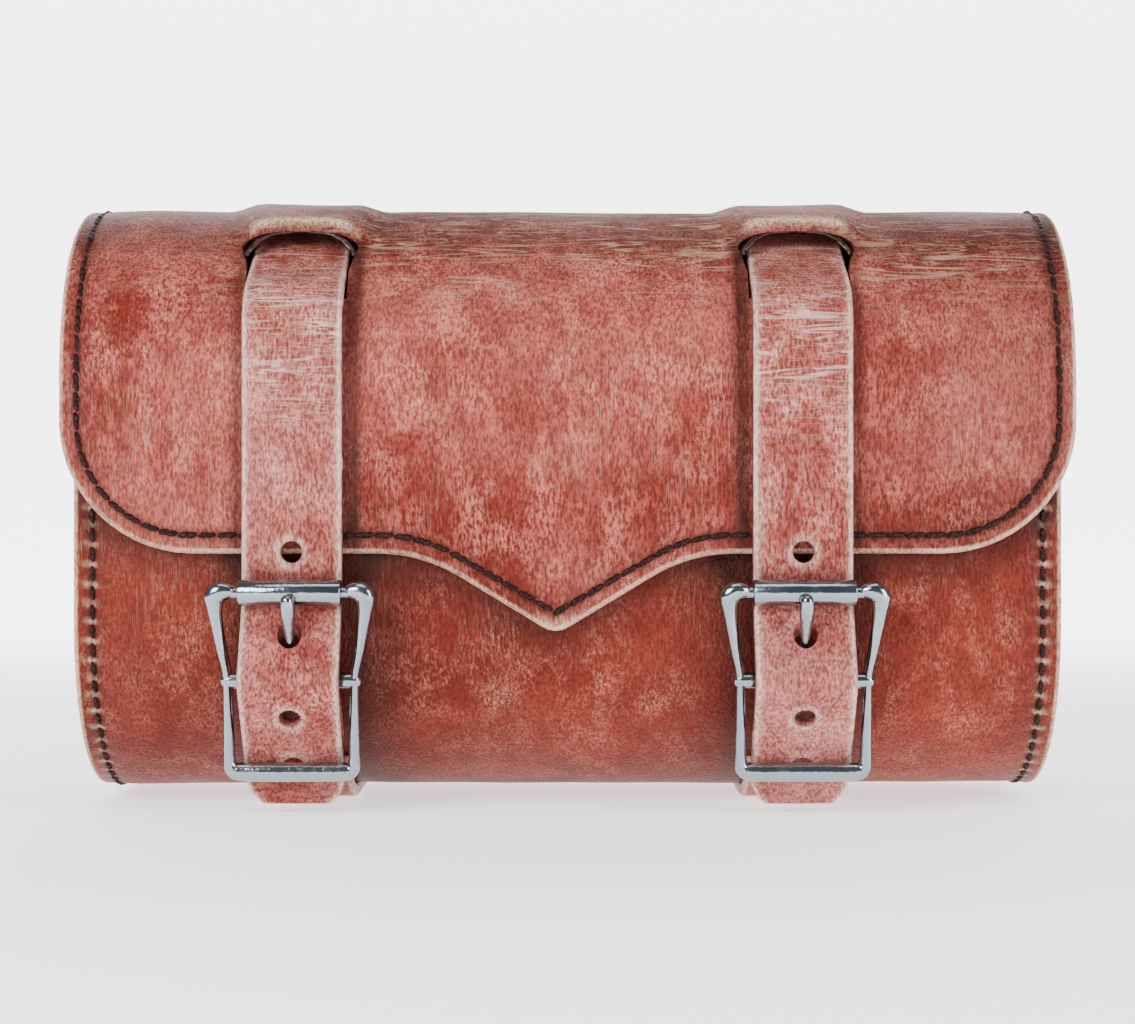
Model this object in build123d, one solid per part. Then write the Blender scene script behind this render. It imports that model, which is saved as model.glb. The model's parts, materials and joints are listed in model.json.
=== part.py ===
from build123d import *
import math
import os

# A motorcycle tail bag of thick leather. A flap lid is hinged at the top of the back and is held
# down in front by two straps with roller buckles. Millimetres, +Z up, the front faces -Y, +X is
# the bag's right as seen from in front. Left and right below are as seen from in front.

# Body
BODY_WIDTH = 251.0
BODY_DEPTH = 110.0
LEATHER = 3.2
STRAP_THICK = 3.4
CORNER_RADIUS = 45.0
BODY_BOTTOM = STRAP_THICK + 0.2
FRONT_TOP = 108.0
HINGE_HEIGHT = 112.0

# Lid
LID_WIDTH = 257.0
LID_TOP = 158.0
LID_LEATHER = 2.4
LINING = 1.2
LID_FRONT_RADIUS = 48.0
LID_EDGE_HEIGHT = 66.5
LID_CORNER_RADIUS = 34.0
TIP_X = -3.0
TIP_HEIGHT = 46.0
TIP_HALF_WIDTH = 34.0
TIP_RADIUS = 6.0
SHOULDER_RADIUS = 40.0
SEAM_INSET = 4.2
SEAM_HINGE_GAP = 12.0
LID_SKIRT = 6.0
OUTLINE_RISE = 20.0
SLOT_ARCH_SHARE = 0.3
SLOT_DEPTH_OFFSET = 12.0

# End panels
PANEL_LEATHER = 3.0
SIDE_SEAM_INSET = 5.0
FLANGE_DEPTH = 9.0
FLANGE_THICK = 2.6
PANEL_TOP = 153.7
PANEL_BACK_GAP = 0.8
PANEL_BACK_RADIUS = 42.0

# Straps
STRAP_WIDTH = 25.4
STRAP_CENTRES = {"left": -69.0, "right": 59.0}
STRAP_STANDOFF = 0.7
SLOT_WIDTH = 27.4
SLOT_TOP = 150.6
SLOT_BOTTOM = 127.0
HOLE_RADIUS = 2.8
FREE_HOLE_HEIGHTS = (67.3, 24.5)

# The strap's run: under the lid, over the top front, out of the slot, past the buckle, and its tail
STRAP_LID_GAP = 1.0
STRAP_HINGE_GAP = 0.4
STRAP_TOP_RUN = 36.0
STRAP_LANDING_HEIGHT = 130.5
STRAP_BEND_RADII = (30.0, 12.0, 10.0)
STRAP_TAIL_RADIUS = 16.0
STRAP_ROLLER_DROP = 2.0
STRAP_BAR_DROP = 0.4
STRAP_KEEPER_GAP = 1.2
STRAP_TAIL_RUN = 6.0
STRAP_TAIL_HEIGHT = 1.4

# Buckles
ROLLER_HEIGHT = 57.0
ROLLER_RADIUS = 3.25
ROLLER_LENGTH = 25.6
ROLLER_BORE = 1.8
AXLE_RADIUS = 1.5
BAR_RADIUS = 2.2
FRAME_WIRE = 2.4
BUCKLE_TILT = 7.5
ROLLER_REACH = 22.2
KEEPER_REACH = 23.0
SIDE_X = 15.6
SHOULDER_X = 18.0
SHOULDER_IN = 1.4
SHOULDER_OUT = 0.4
SHOULDER_RISE = 0.8
SHOULDER_DROP = 1.0
WAIST_HEIGHT = 5.0
TONGUE_RADIUS = 1.5
TONGUE_ROLLER_GAP = 0.3
EYE_WALL = 2.0
EYE_LENGTH = 3.4
EYE_GAP = 0.08
CHAPE_LEATHER = 2.2
CHAPE_WIDTH = 23.0
CHAPE_FOOT_ANGLE = 38.0
CHAPE_BODY_GAP = 1.0
CHAPE_RIVET_SHARE = 0.52
TONGUE_NOTCH = (4.6, 16.0, 12.0)
TONGUE_NOTCH_RISE = 1.0
WRAP_HALF_TURN = 29.0
RIVET_RADIUS = 3.2
RIVET_SHANK = 1.2
RIVET_HEAD = 0.8
RIVET_SPREAD = 6.5
REAR_STRAP_TOP = 96.0
REAR_RIVET_HEIGHT = 88.0
REAR_STRAP_LEAD = 13.0
RIVET_HEAD_GAP = 0.05
RIVET_SHANK_GAP = 0.05

# Clearances
GAP = 0.15
LID_GAP = 0.9
TURN_GAP = 0.35

# Thread
THREAD_WIDTH = 1.0
THREAD_HEIGHT = 0.5
THREAD_GAP = 0.05
THREAD_END_GAP = 6.0

# How far a cutting tool runs past what it cuts
PAST = 2.0

# Planes that the section is built from, front to back
BODY_FRONT = -BODY_DEPTH / 2
BODY_BACK = BODY_DEPTH / 2
LID_STACK = LINING + GAP + LID_LEATHER
LID_FRONT = BODY_FRONT - LID_GAP - LID_STACK
STRAP_LINE = LID_FRONT - STRAP_STANDOFF - STRAP_THICK / 2
ROLLER_Y = STRAP_LINE - STRAP_THICK / 2 - TURN_GAP - ROLLER_RADIUS
BAR_Y = ROLLER_Y + ROLLER_REACH * math.sin(math.radians(BUCKLE_TILT))
BAR_Z = ROLLER_HEIGHT - ROLLER_REACH * math.cos(math.radians(BUCKLE_TILT))
SIDE_SEAM_X = BODY_WIDTH / 2 - SIDE_SEAM_INSET
LOOP_RADIUS = BAR_RADIUS + GAP + CHAPE_LEATHER
CORNER_Y = BODY_FRONT + CORNER_RADIUS
CORNER_Z = BODY_BOTTOM + CORNER_RADIUS

# The tongue's bends, in the buckle's own frame: (Y, Z) from the centre bar upward
TONGUE_REST = -ROLLER_RADIUS - TONGUE_RADIUS - TONGUE_ROLLER_GAP
TONGUE_BENDS = [(-1.0, 3.2), (-1.2, 9.5), (TONGUE_REST, 19.5), (TONGUE_REST, 24.2)]


def path(points, radii):
    """A planar line in the YZ plane: straight runs joined by tangent arcs."""
    corners = [Vector(0, y, z) for y, z in points]
    return FilletPolyline(*corners, radius=radii)


def ribbon(line, width, thickness, x_centre=0.0):
    """A strip of leather of one thickness that follows a line."""
    start = Plane(origin=line @ 0, x_dir=(1, 0, 0), z_dir=line % 0)
    strip = sweep(start * Rectangle(width, thickness), path=line)
    return Pos(x_centre, 0, 0) * strip


def rod(start, end, radius):
    """A round bar between two points."""
    axis = Vector(*end) - Vector(*start)
    plane = Plane(origin=start, z_dir=axis)
    return plane * Cylinder(radius, axis.length, align=(Align.CENTER, Align.CENTER, Align.MIN))


def wire_run(points, radius):
    """Round wire through points, with a ball at each inner corner."""
    pieces = [rod(a, b, radius) for a, b in zip(points, points[1:])]
    pieces += [Pos(*p) * Sphere(radius) for p in points[1:-1]]
    joined = pieces[0]
    for piece in pieces[1:]:
        joined += piece
    return joined


def wrap_line(offset, front_top, back_top):
    """The body's U-shaped section line, an offset inside (+) or outside (-) of its outer face."""
    front = BODY_FRONT + offset
    back = BODY_BACK - offset
    bottom = BODY_BOTTOM + offset
    points = [(front, front_top), (front, bottom), (back, bottom), (back, back_top)]
    return path(points, CORNER_RADIUS - offset)


def lid_line(offset, foot):
    """The lid's section line from the hinge over the top and down the front."""
    back = BODY_BACK - offset
    front = LID_FRONT + offset
    top = LID_TOP - offset
    points = [(back, HINGE_HEIGHT + GAP), (back, top), (front, top), (front, foot)]
    return path(points, [CORNER_RADIUS - offset, LID_FRONT_RADIUS - offset])


def lid_outline(inset):
    """The lid's shape seen from in front, as a prism along Y, inset from its edge."""
    side = LID_WIDTH / 2 - inset
    edge = LID_EDGE_HEIGHT + inset
    tip = TIP_HEIGHT + inset * 1.2
    high = LID_TOP + OUTLINE_RISE
    points = [
        Vector(-side, 0, high),
        Vector(-side, 0, edge),
        Vector(TIP_X - TIP_HALF_WIDTH, 0, edge),
        Vector(TIP_X, 0, tip),
        Vector(TIP_X + TIP_HALF_WIDTH, 0, edge),
        Vector(side, 0, edge),
        Vector(side, 0, high),
    ]
    corner = LID_CORNER_RADIUS - inset
    radii = [corner, SHOULDER_RADIUS, TIP_RADIUS, SHOULDER_RADIUS, corner]
    edge_line = FilletPolyline(*points, radius=radii)
    face = make_face([edge_line, Line(points[-1], points[0])])
    return extrude(face, amount=2 * BODY_DEPTH, dir=(0, 1, 0), both=True)


def lid_shell(offset, thickness, width):
    """A layer of the lid, cut to the lid's outline."""
    layer = ribbon(lid_line(offset + thickness / 2, TIP_HEIGHT - LID_SKIRT), width, thickness)
    return layer & lid_outline(0.0)


def slot_cutter(x_centre):
    """An arched window through the lid's front top corner, where a strap comes out."""
    half = SLOT_WIDTH / 2
    arch = half * SLOT_ARCH_SHARE
    side = SLOT_TOP - arch
    outline = [
        Line((-half, SLOT_BOTTOM), (half, SLOT_BOTTOM)),
        Line((half, SLOT_BOTTOM), (half, side)),
        ThreePointArc((half, side), (0, SLOT_TOP), (-half, side)),
        Line((-half, side), (-half, SLOT_BOTTOM)),
    ]
    window = extrude(Plane.XZ * make_face(outline), amount=BODY_DEPTH / 2)
    return Pos(x_centre, LID_FRONT + LID_FRONT_RADIUS - SLOT_DEPTH_OFFSET, 0) * window


def make_lid():
    """The flap's outer leather with its two strap slots."""
    lid = lid_shell(0.0, LID_LEATHER, LID_WIDTH)
    for x_centre in STRAP_CENTRES.values():
        lid -= slot_cutter(x_centre)
    return lid


def make_lining():
    """The flap's second layer, under the leather."""
    lining = lid_shell(LID_LEATHER + GAP, LINING, LID_WIDTH)
    for x_centre in STRAP_CENTRES.values():
        lining -= slot_cutter(x_centre)
    return lining


def make_lid_thread():
    """The seam along the lid's free edge, as one low bead on the leather, clear of the hinge."""
    height = THREAD_HEIGHT
    skin = ribbon(lid_line(-THREAD_GAP - height / 2, TIP_HEIGHT - LID_SKIRT), LID_WIDTH, height)
    band = lid_outline(SEAM_INSET) - lid_outline(SEAM_INSET + THREAD_WIDTH)
    above = Box(2 * LID_WIDTH, 2 * LID_WIDTH, LID_TOP, align=(Align.CENTER, Align.MIN, Align.MAX))
    near_hinge = Pos(0, LID_FRONT + LID_FRONT_RADIUS, HINGE_HEIGHT + SEAM_HINGE_GAP) * above
    return (skin & band) - near_hinge


def make_body_wrap():
    """Front, bottom and back in one piece of leather."""
    return ribbon(wrap_line(LEATHER / 2, FRONT_TOP, HINGE_HEIGHT - GAP), BODY_WIDTH, LEATHER)


def panel_face(inset):
    """The end panel's rounded outline, an inset inside the flange's outer face."""
    front = BODY_FRONT + LEATHER + GAP + inset
    back = BODY_BACK - LEATHER - GAP - PANEL_BACK_GAP - inset
    bottom = BODY_BOTTOM + LEATHER + GAP + inset
    top = PANEL_TOP - inset
    low_radius = CORNER_RADIUS - LEATHER - GAP - inset
    outline = FilletPolyline(
        Vector(0, 0, bottom), Vector(0, front, bottom), Vector(0, front, top),
        Vector(0, back, top), Vector(0, back, bottom), Vector(0, GAP, bottom),
        radius=[low_radius, CORNER_RADIUS - inset, PANEL_BACK_RADIUS - inset, low_radius],
    )
    return make_face([outline, Line(outline @ 1, outline @ 0)])


def make_end_panel(side):
    """A flat end with a flange that turns outward along the wrap's edge."""
    outer = extrude(panel_face(0.0), amount=FLANGE_DEPTH, dir=(1, 0, 0))
    dish = extrude(panel_face(FLANGE_THICK), amount=FLANGE_DEPTH, dir=(1, 0, 0))
    panel = outer - Pos(PANEL_LEATHER, 0, 0) * dish
    panel = Pos(BODY_WIDTH / 2 - FLANGE_DEPTH, 0, 0) * panel
    return panel if side > 0 else panel.mirror(Plane.YZ)


def make_end_thread(side):
    """The seam that holds the wrap to an end panel's flange, as one low bead."""
    line = wrap_line(-THREAD_GAP - THREAD_HEIGHT / 2, FRONT_TOP - THREAD_END_GAP, HINGE_HEIGHT - THREAD_END_GAP)
    return ribbon(line, THREAD_WIDTH, THREAD_HEIGHT, side * SIDE_SEAM_X)


def arc_point(radius, angle):
    """A point in the section, at an angle below level, about the front bottom corner's centre."""
    turn = math.radians(angle)
    return CORNER_Y - radius * math.cos(turn), CORNER_Z - radius * math.sin(turn)


def strap_line():
    """The strap's centre line: under the lid, out of the slot, through the buckle and down."""
    half = STRAP_THICK / 2
    inner = LID_STACK + STRAP_LID_GAP + half
    top = LID_TOP - inner
    wrap = LOOP_RADIUS + TURN_GAP + half
    bar_front = BAR_Y - wrap / math.cos(math.radians(WRAP_HALF_TURN))
    keeper_y = BAR_Y + KEEPER_REACH * math.sin(math.radians(BUCKLE_TILT))
    keeper_z = BAR_Z - KEEPER_REACH * math.cos(math.radians(BUCKLE_TILT))
    behind_keeper = keeper_y + FRAME_WIRE + half + TURN_GAP + STRAP_KEEPER_GAP
    points = [
        (BODY_BACK - inner, HINGE_HEIGHT + STRAP_HINGE_GAP),
        (BODY_BACK - inner, top),
        (LID_FRONT + STRAP_TOP_RUN, top),
        (STRAP_LINE, STRAP_LANDING_HEIGHT),
        (STRAP_LINE, ROLLER_HEIGHT - STRAP_ROLLER_DROP),
        (bar_front, BAR_Z - STRAP_BAR_DROP),
        (behind_keeper, keeper_z),
        (behind_keeper + STRAP_TAIL_RUN, half + STRAP_TAIL_HEIGHT),
    ]
    return path(points, [CORNER_RADIUS - inner, *STRAP_BEND_RADII, wrap, STRAP_TAIL_RADIUS])


def tongue_wire(radius):
    """Round wire along the tongue's bends, in the buckle's own frame."""
    bends = [(0, y, z) for y, z in TONGUE_BENDS]
    return wire_run(bends, radius) + Pos(*bends[-1]) * Sphere(radius)


def make_strap(x_centre):
    """One strap with its free holes and the worn, slanted hole that the tongue goes through."""
    strap = ribbon(strap_line(), STRAP_WIDTH, STRAP_THICK, x_centre)
    for height in FREE_HOLE_HEIGHTS:
        strap -= Pos(x_centre, STRAP_LINE, height) * Rot(90, 0, 0) * Cylinder(HOLE_RADIUS, 7 * STRAP_THICK)
    return strap - buckle_place(x_centre) * tongue_wire(HOLE_RADIUS)


def strap_rear_line():
    """The lower strap's line: from behind the chape, under the bag and up the back."""
    out = -GAP / 2 - STRAP_THICK / 2
    radius = CORNER_RADIUS - out
    back = BODY_BACK - out
    bottom = BODY_BOTTOM + out
    angle = CHAPE_FOOT_ANGLE + REAR_STRAP_LEAD
    turn = math.radians(angle)
    start_y, start_z = arc_point(radius, angle)
    reach = radius * math.tan(math.radians(90 - angle) / 2)
    points = [
        (start_y - math.sin(turn), start_z + math.cos(turn)),
        (start_y + reach * math.sin(turn), bottom),
        (back, bottom),
        (back, REAR_STRAP_TOP),
    ]
    return path(points, radius)


def rivet(grip):
    """A double-capped rivet along Z, centred in the thickness that it grips."""
    head = Cylinder(RIVET_RADIUS, RIVET_HEAD)
    reach = grip / 2 + RIVET_HEAD_GAP + RIVET_HEAD / 2
    return Cylinder(RIVET_SHANK, grip + 4 * RIVET_HEAD_GAP) + Pos(0, 0, reach) * head + Pos(0, 0, -reach) * head


def rivet_places(middle):
    """Two places side by side about a middle, with the rivets along its Y."""
    return [middle * Pos(dx, 0, 0) * Rot(90, 0, 0) for dx in (-RIVET_SPREAD, RIVET_SPREAD)]


def riveted(pieces, places, grip):
    """The pieces drilled at the places, and the group of rivets that fills the drillings."""
    drill = Cylinder(RIVET_SHANK + RIVET_SHANK_GAP, grip + PAST)
    for place in places:
        pieces = [piece - place * drill for piece in pieces]
    return pieces, Compound([solid for place in places for solid in (place * rivet(grip)).solids()])


def buckle_place(x_centre):
    """The buckle's own frame: origin on the centre bar, Z up to the roller."""
    return Pos(x_centre, BAR_Y, BAR_Z) * Rot(BUCKLE_TILT, 0, 0)


def make_buckle_frame(x_centre):
    """Steel frame: shoulders, waist, centre bar, keeper bar, and the axle of the roller."""
    frame = rod((-SHOULDER_X, 0, ROLLER_REACH), (SHOULDER_X, 0, ROLLER_REACH), AXLE_RADIUS)
    frame += rod((-SIDE_X, 0, 0), (SIDE_X, 0, 0), BAR_RADIUS)
    corner = KEEPER_REACH
    loop = [
        (-SHOULDER_X + SHOULDER_IN, 0, ROLLER_REACH + SHOULDER_RISE),
        (-SHOULDER_X - SHOULDER_OUT, 0, ROLLER_REACH - SHOULDER_DROP),
        (-SIDE_X, 0, WAIST_HEIGHT),
        (-SIDE_X, 0, -corner),
        (SIDE_X, 0, -corner),
        (SIDE_X, 0, WAIST_HEIGHT),
        (SHOULDER_X + SHOULDER_OUT, 0, ROLLER_REACH - SHOULDER_DROP),
        (SHOULDER_X - SHOULDER_IN, 0, ROLLER_REACH + SHOULDER_RISE),
    ]
    frame += wire_run(loop, FRAME_WIRE)
    for x in (loop[0][0], loop[-1][0]):
        frame += Pos(x, 0, ROLLER_REACH + SHOULDER_RISE) * Sphere(FRAME_WIRE)
    return buckle_place(x_centre) * frame


def make_roller(x_centre):
    """A plain tube that turns on the frame's top bar."""
    tube = Cylinder(ROLLER_RADIUS, ROLLER_LENGTH) - Cylinder(ROLLER_BORE, ROLLER_LENGTH + PAST)
    return buckle_place(x_centre) * Pos(0, 0, ROLLER_REACH) * Rot(0, 90, 0) * tube


def make_tongue(x_centre):
    """A pin that hooks round the centre bar, goes through the strap and lies on the roller."""
    eye = Rot(0, 90, 0) * Cylinder(BAR_RADIUS + EYE_WALL, EYE_LENGTH)
    bore = Rot(0, 90, 0) * Cylinder(BAR_RADIUS + EYE_GAP, EYE_LENGTH + PAST)
    return buckle_place(x_centre) * (eye + tongue_wire(TONGUE_RADIUS) - bore)


def make_chape(x_centre):
    """Leather folded round the centre bar, both ends together down to the bag's lower corner."""
    foot_y, foot_z = arc_point(CORNER_RADIUS + CHAPE_BODY_GAP + CHAPE_LEATHER, CHAPE_FOOT_ANGLE)
    run = Vector(0, foot_y - BAR_Y, foot_z - BAR_Z)
    centre = Plane(origin=(0, BAR_Y, BAR_Z), x_dir=(1, 0, 0), z_dir=run)
    tail = Box(CHAPE_WIDTH, 2 * CHAPE_LEATHER, run.length, align=(Align.CENTER, Align.CENTER, Align.MIN))
    across = Pos(0, BAR_Y, BAR_Z) * Rot(0, 90, 0)
    chape = across * Cylinder(LOOP_RADIUS, CHAPE_WIDTH) + centre * tail
    chape -= across * Cylinder(BAR_RADIUS + GAP, CHAPE_WIDTH + PAST)
    chape -= Pos(0, BAR_Y, BAR_Z + TONGUE_NOTCH_RISE) * Box(*TONGUE_NOTCH)
    places = rivet_places(centre.location * Pos(0, 0, run.length * CHAPE_RIVET_SHARE))
    (chape,), rivets = riveted([chape], places, 2 * CHAPE_LEATHER)
    return Pos(x_centre, 0, 0) * chape, Pos(x_centre, 0, 0) * rivets


def make_all():
    """Every sub-part by name, still about the body's own middle."""
    parts = {
        "body_wrap": make_body_wrap(),
        "lid": make_lid(),
        "lid_lining": make_lining(),
        "lid_thread": make_lid_thread(),
    }
    for name, side in (("left", -1), ("right", 1)):
        parts["end_panel_" + name] = make_end_panel(side)
        parts["end_thread_" + name] = make_end_thread(side)
    back_grip = LEATHER + GAP / 2 + STRAP_THICK
    for name, x in STRAP_CENTRES.items():
        lower = ribbon(strap_rear_line(), STRAP_WIDTH, STRAP_THICK, x)
        places = rivet_places(Pos(x, BODY_BACK - LEATHER + back_grip / 2, REAR_RIVET_HEIGHT))
        drilled, rivets = riveted([parts["body_wrap"], lower], places, back_grip)
        parts["body_wrap"], parts["strap_rear_" + name] = drilled
        parts["rear_rivets_" + name] = rivets
        parts["strap_" + name] = make_strap(x)
        parts["buckle_frame_" + name] = make_buckle_frame(x)
        parts["buckle_roller_" + name] = make_roller(x)
        parts["buckle_tongue_" + name] = make_tongue(x)
        parts["chape_" + name], parts["chape_rivets_" + name] = make_chape(x)
    return parts


def centred(parts):
    """The parts moved so that the origin is under the middle of the whole, on the ground."""
    whole = Compound([solid for part in parts.values() for solid in part.solids()]).bounding_box()
    middle = whole.center()
    shift = Pos(-middle.X, -middle.Y, -whole.min.Z)
    return {name: shift * part for name, part in parts.items()}, shift


PARTS, SHIFT = centred(make_all())
os.makedirs("parts", exist_ok=True)
for name, solid in PARTS.items():
    export_step(solid, os.path.join("parts", name + ".step"))
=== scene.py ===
"""Looks of a leather tail bag: lid, wrap, ends, straps, buckles, seams and their finishes."""
import json
import logging
import math
from dataclasses import dataclass, field
from enum import Enum
from typing import Callable, Optional, Sequence, Union

import bmesh
import bpy
import numpy as np
from mathutils import Matrix, Vector

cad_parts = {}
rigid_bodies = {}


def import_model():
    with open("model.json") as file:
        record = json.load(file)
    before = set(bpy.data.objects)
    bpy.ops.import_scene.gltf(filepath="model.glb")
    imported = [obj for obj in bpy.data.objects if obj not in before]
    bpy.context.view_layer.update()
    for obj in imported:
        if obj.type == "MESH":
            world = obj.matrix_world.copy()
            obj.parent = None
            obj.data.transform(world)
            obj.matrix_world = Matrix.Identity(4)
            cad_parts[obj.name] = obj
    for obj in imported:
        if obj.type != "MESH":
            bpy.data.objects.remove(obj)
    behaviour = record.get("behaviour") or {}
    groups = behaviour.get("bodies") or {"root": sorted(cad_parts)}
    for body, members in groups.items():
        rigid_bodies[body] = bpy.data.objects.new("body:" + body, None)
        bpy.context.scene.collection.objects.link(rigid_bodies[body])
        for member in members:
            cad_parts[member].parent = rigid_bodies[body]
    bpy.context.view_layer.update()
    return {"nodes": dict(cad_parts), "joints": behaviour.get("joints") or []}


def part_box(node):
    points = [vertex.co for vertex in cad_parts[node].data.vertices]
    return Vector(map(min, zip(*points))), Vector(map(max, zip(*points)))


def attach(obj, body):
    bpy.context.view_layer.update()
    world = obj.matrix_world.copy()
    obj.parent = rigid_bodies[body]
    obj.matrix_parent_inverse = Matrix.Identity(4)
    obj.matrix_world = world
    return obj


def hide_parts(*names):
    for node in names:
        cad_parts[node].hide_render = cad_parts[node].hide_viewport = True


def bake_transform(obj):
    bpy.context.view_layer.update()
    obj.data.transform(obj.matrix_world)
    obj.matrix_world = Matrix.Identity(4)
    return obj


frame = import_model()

LOG = logging.getLogger("tail_bag")
MM = 0.001
Number = Union[int, float]
Point = tuple[float, float, float]


class Side(Enum):
    """Which strap or end, as seen from in front."""

    LEFT = "left"
    RIGHT = "right"

    @property
    def sign(self) -> int:
        """-1 on the left, 1 on the right."""
        return -1 if self is Side.LEFT else 1


# ---------------------------------------------------------------- shader maths


class Value:
    """A number in a shader tree, with the usual operators."""

    def __init__(self, tree: "ShaderTree", socket: bpy.types.NodeSocket) -> None:
        """Wraps an output socket of a tree."""
        self.tree = tree
        self.socket = socket

    def _math(self, operation: str, *terms: Union["Value", Number]) -> "Value":
        """One Math node on the terms."""
        inputs = {index: term for index, term in enumerate(terms)}
        return Value(self.tree, self.tree.out("ShaderNodeMath", {"operation": operation}, inputs))

    def __add__(self, other: Union["Value", Number]) -> "Value":
        """Sum."""
        return self._math("ADD", self, other)

    __radd__ = __add__

    def __sub__(self, other: Union["Value", Number]) -> "Value":
        """Difference."""
        return self._math("SUBTRACT", self, other)

    def __rsub__(self, other: Union["Value", Number]) -> "Value":
        """Reflected difference."""
        return self._math("SUBTRACT", other, self)

    def __mul__(self, other: Union["Value", Number]) -> "Value":
        """Product."""
        return self._math("MULTIPLY", self, other)

    __rmul__ = __mul__

    def ridge(self) -> "Value":
        """1 where a 0 to 1 value crosses one half, falling to 0 on both sides."""
        return 1 - self._math("ABSOLUTE", self * 2 - 1)

    def ramp(self, low: float, high: float) -> "Value":
        """A smooth step from 0 at low to 1 at high."""
        settings = {"interpolation_type": "SMOOTHSTEP"}
        inputs = {"Value": self, "From Min": low, "From Max": high}
        return Value(self.tree, self.tree.out("ShaderNodeMapRange", settings, inputs))

    def clamped(self) -> "Value":
        """Held between 0 and 1."""
        return Value(self.tree, self.tree.out("ShaderNodeClamp", {}, {"Value": self}))


class NodeTree:
    """A node tree with one way to add a node."""

    def __init__(self, tree: bpy.types.NodeTree) -> None:
        """Takes hold of a tree's nodes and links."""
        self.nodes = tree.nodes
        self.links = tree.links

    def node(self, kind: str, settings: dict, inputs: dict) -> bpy.types.Node:
        """Adds a node.

        Args:
            kind: the node's type.
            settings: its own settings, set first.
            inputs: values or links by socket name or number.

        Returns:
            The node.
        """
        made = self.nodes.new(kind)
        for key, value in settings.items():
            setattr(made, key, value)
        for key, value in inputs.items():
            self.feed(made.inputs[key], value)
        return made

    def feed(self, socket: bpy.types.NodeSocket, value: object) -> None:
        """Links a socket to a value's output, or sets it to a constant."""
        if isinstance(value, Value):
            self.links.new(value.socket, socket)
        elif isinstance(value, bpy.types.NodeSocket):
            self.links.new(value, socket)
        else:
            socket.default_value = value

    def out(self, kind: str, settings: dict, inputs: dict) -> bpy.types.NodeSocket:
        """Adds a node and returns its first output."""
        return self.node(kind, settings, inputs).outputs[0]


class ShaderTree(NodeTree):
    """A new material's node tree."""

    def __init__(self, name: str) -> None:
        """Starts a material of a name with only its output."""
        self.material = bpy.data.materials.new(name)
        self.material.use_nodes = True
        super().__init__(self.material.node_tree)
        self.nodes.clear()
        self.output = self.nodes.new("ShaderNodeOutputMaterial")

    def noise(self, stretch: Point, detail: float = 4.0, shift: float = 0.0, warp: float = 0.0) -> Value:
        """Noise on the object's own coordinates, in waves per metre along each axis."""
        place = (shift, shift * 0.7, shift * 0.3)
        inputs = {"Vector": self.coords(), "Scale": stretch, "Location": place}
        mapped = self.out("ShaderNodeMapping", {}, inputs)
        inputs = {"Vector": mapped, "Scale": 1.0, "Detail": detail, "Roughness": 0.6, "Distortion": warp}
        return Value(self, self.out("ShaderNodeTexNoise", {}, inputs))

    def coords(self) -> bpy.types.NodeSocket:
        """The object's own coordinates."""
        return self.node("ShaderNodeTexCoord", {}, {}).outputs["Object"]

    def cells(self, scale: float) -> Value:
        """Distance from the middle of random cells, for grain."""
        inputs = {"Vector": self.coords(), "Scale": scale}
        return Value(self, self.node("ShaderNodeTexVoronoi", {}, inputs).outputs["Distance"])

    def mark(self, name: str) -> Value:
        """A number painted on the mesh's points; 0 where a mesh doesn't have it."""
        settings = {"attribute_type": "GEOMETRY", "attribute_name": name}
        return Value(self, self.node("ShaderNodeAttribute", settings, {}).outputs["Fac"])

    def blend(self, base: object, over: object, amount: Union[Value, Number]) -> bpy.types.NodeSocket:
        """One colour laid over another by an amount."""
        settings = {"data_type": "RGBA", "clamp_factor": True}
        inputs = {0: amount, 6: base, 7: over}
        return self.node("ShaderNodeMix", settings, inputs).outputs[2]

    def bump(self, height: Value, depth: float) -> bpy.types.NodeSocket:
        """A normal from a height, with its depth in metres."""
        inputs = {"Height": height, "Distance": depth, "Strength": 1.0}
        return self.out("ShaderNodeBump", {}, inputs)

    def finish(self, **inputs: object) -> bpy.types.Material:
        """Ends the tree in a Principled shader with these inputs and returns the material."""
        named = {key.replace("_", " "): value for key, value in inputs.items()}
        shader = self.node("ShaderNodeBsdfPrincipled", {}, named)
        self.links.new(shader.outputs[0], self.output.inputs[0])
        return self.material


def rgb(red: float, green: float, blue: float) -> tuple[float, float, float, float]:
    """A colour with full alpha."""
    return (red, green, blue, 1.0)


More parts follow.
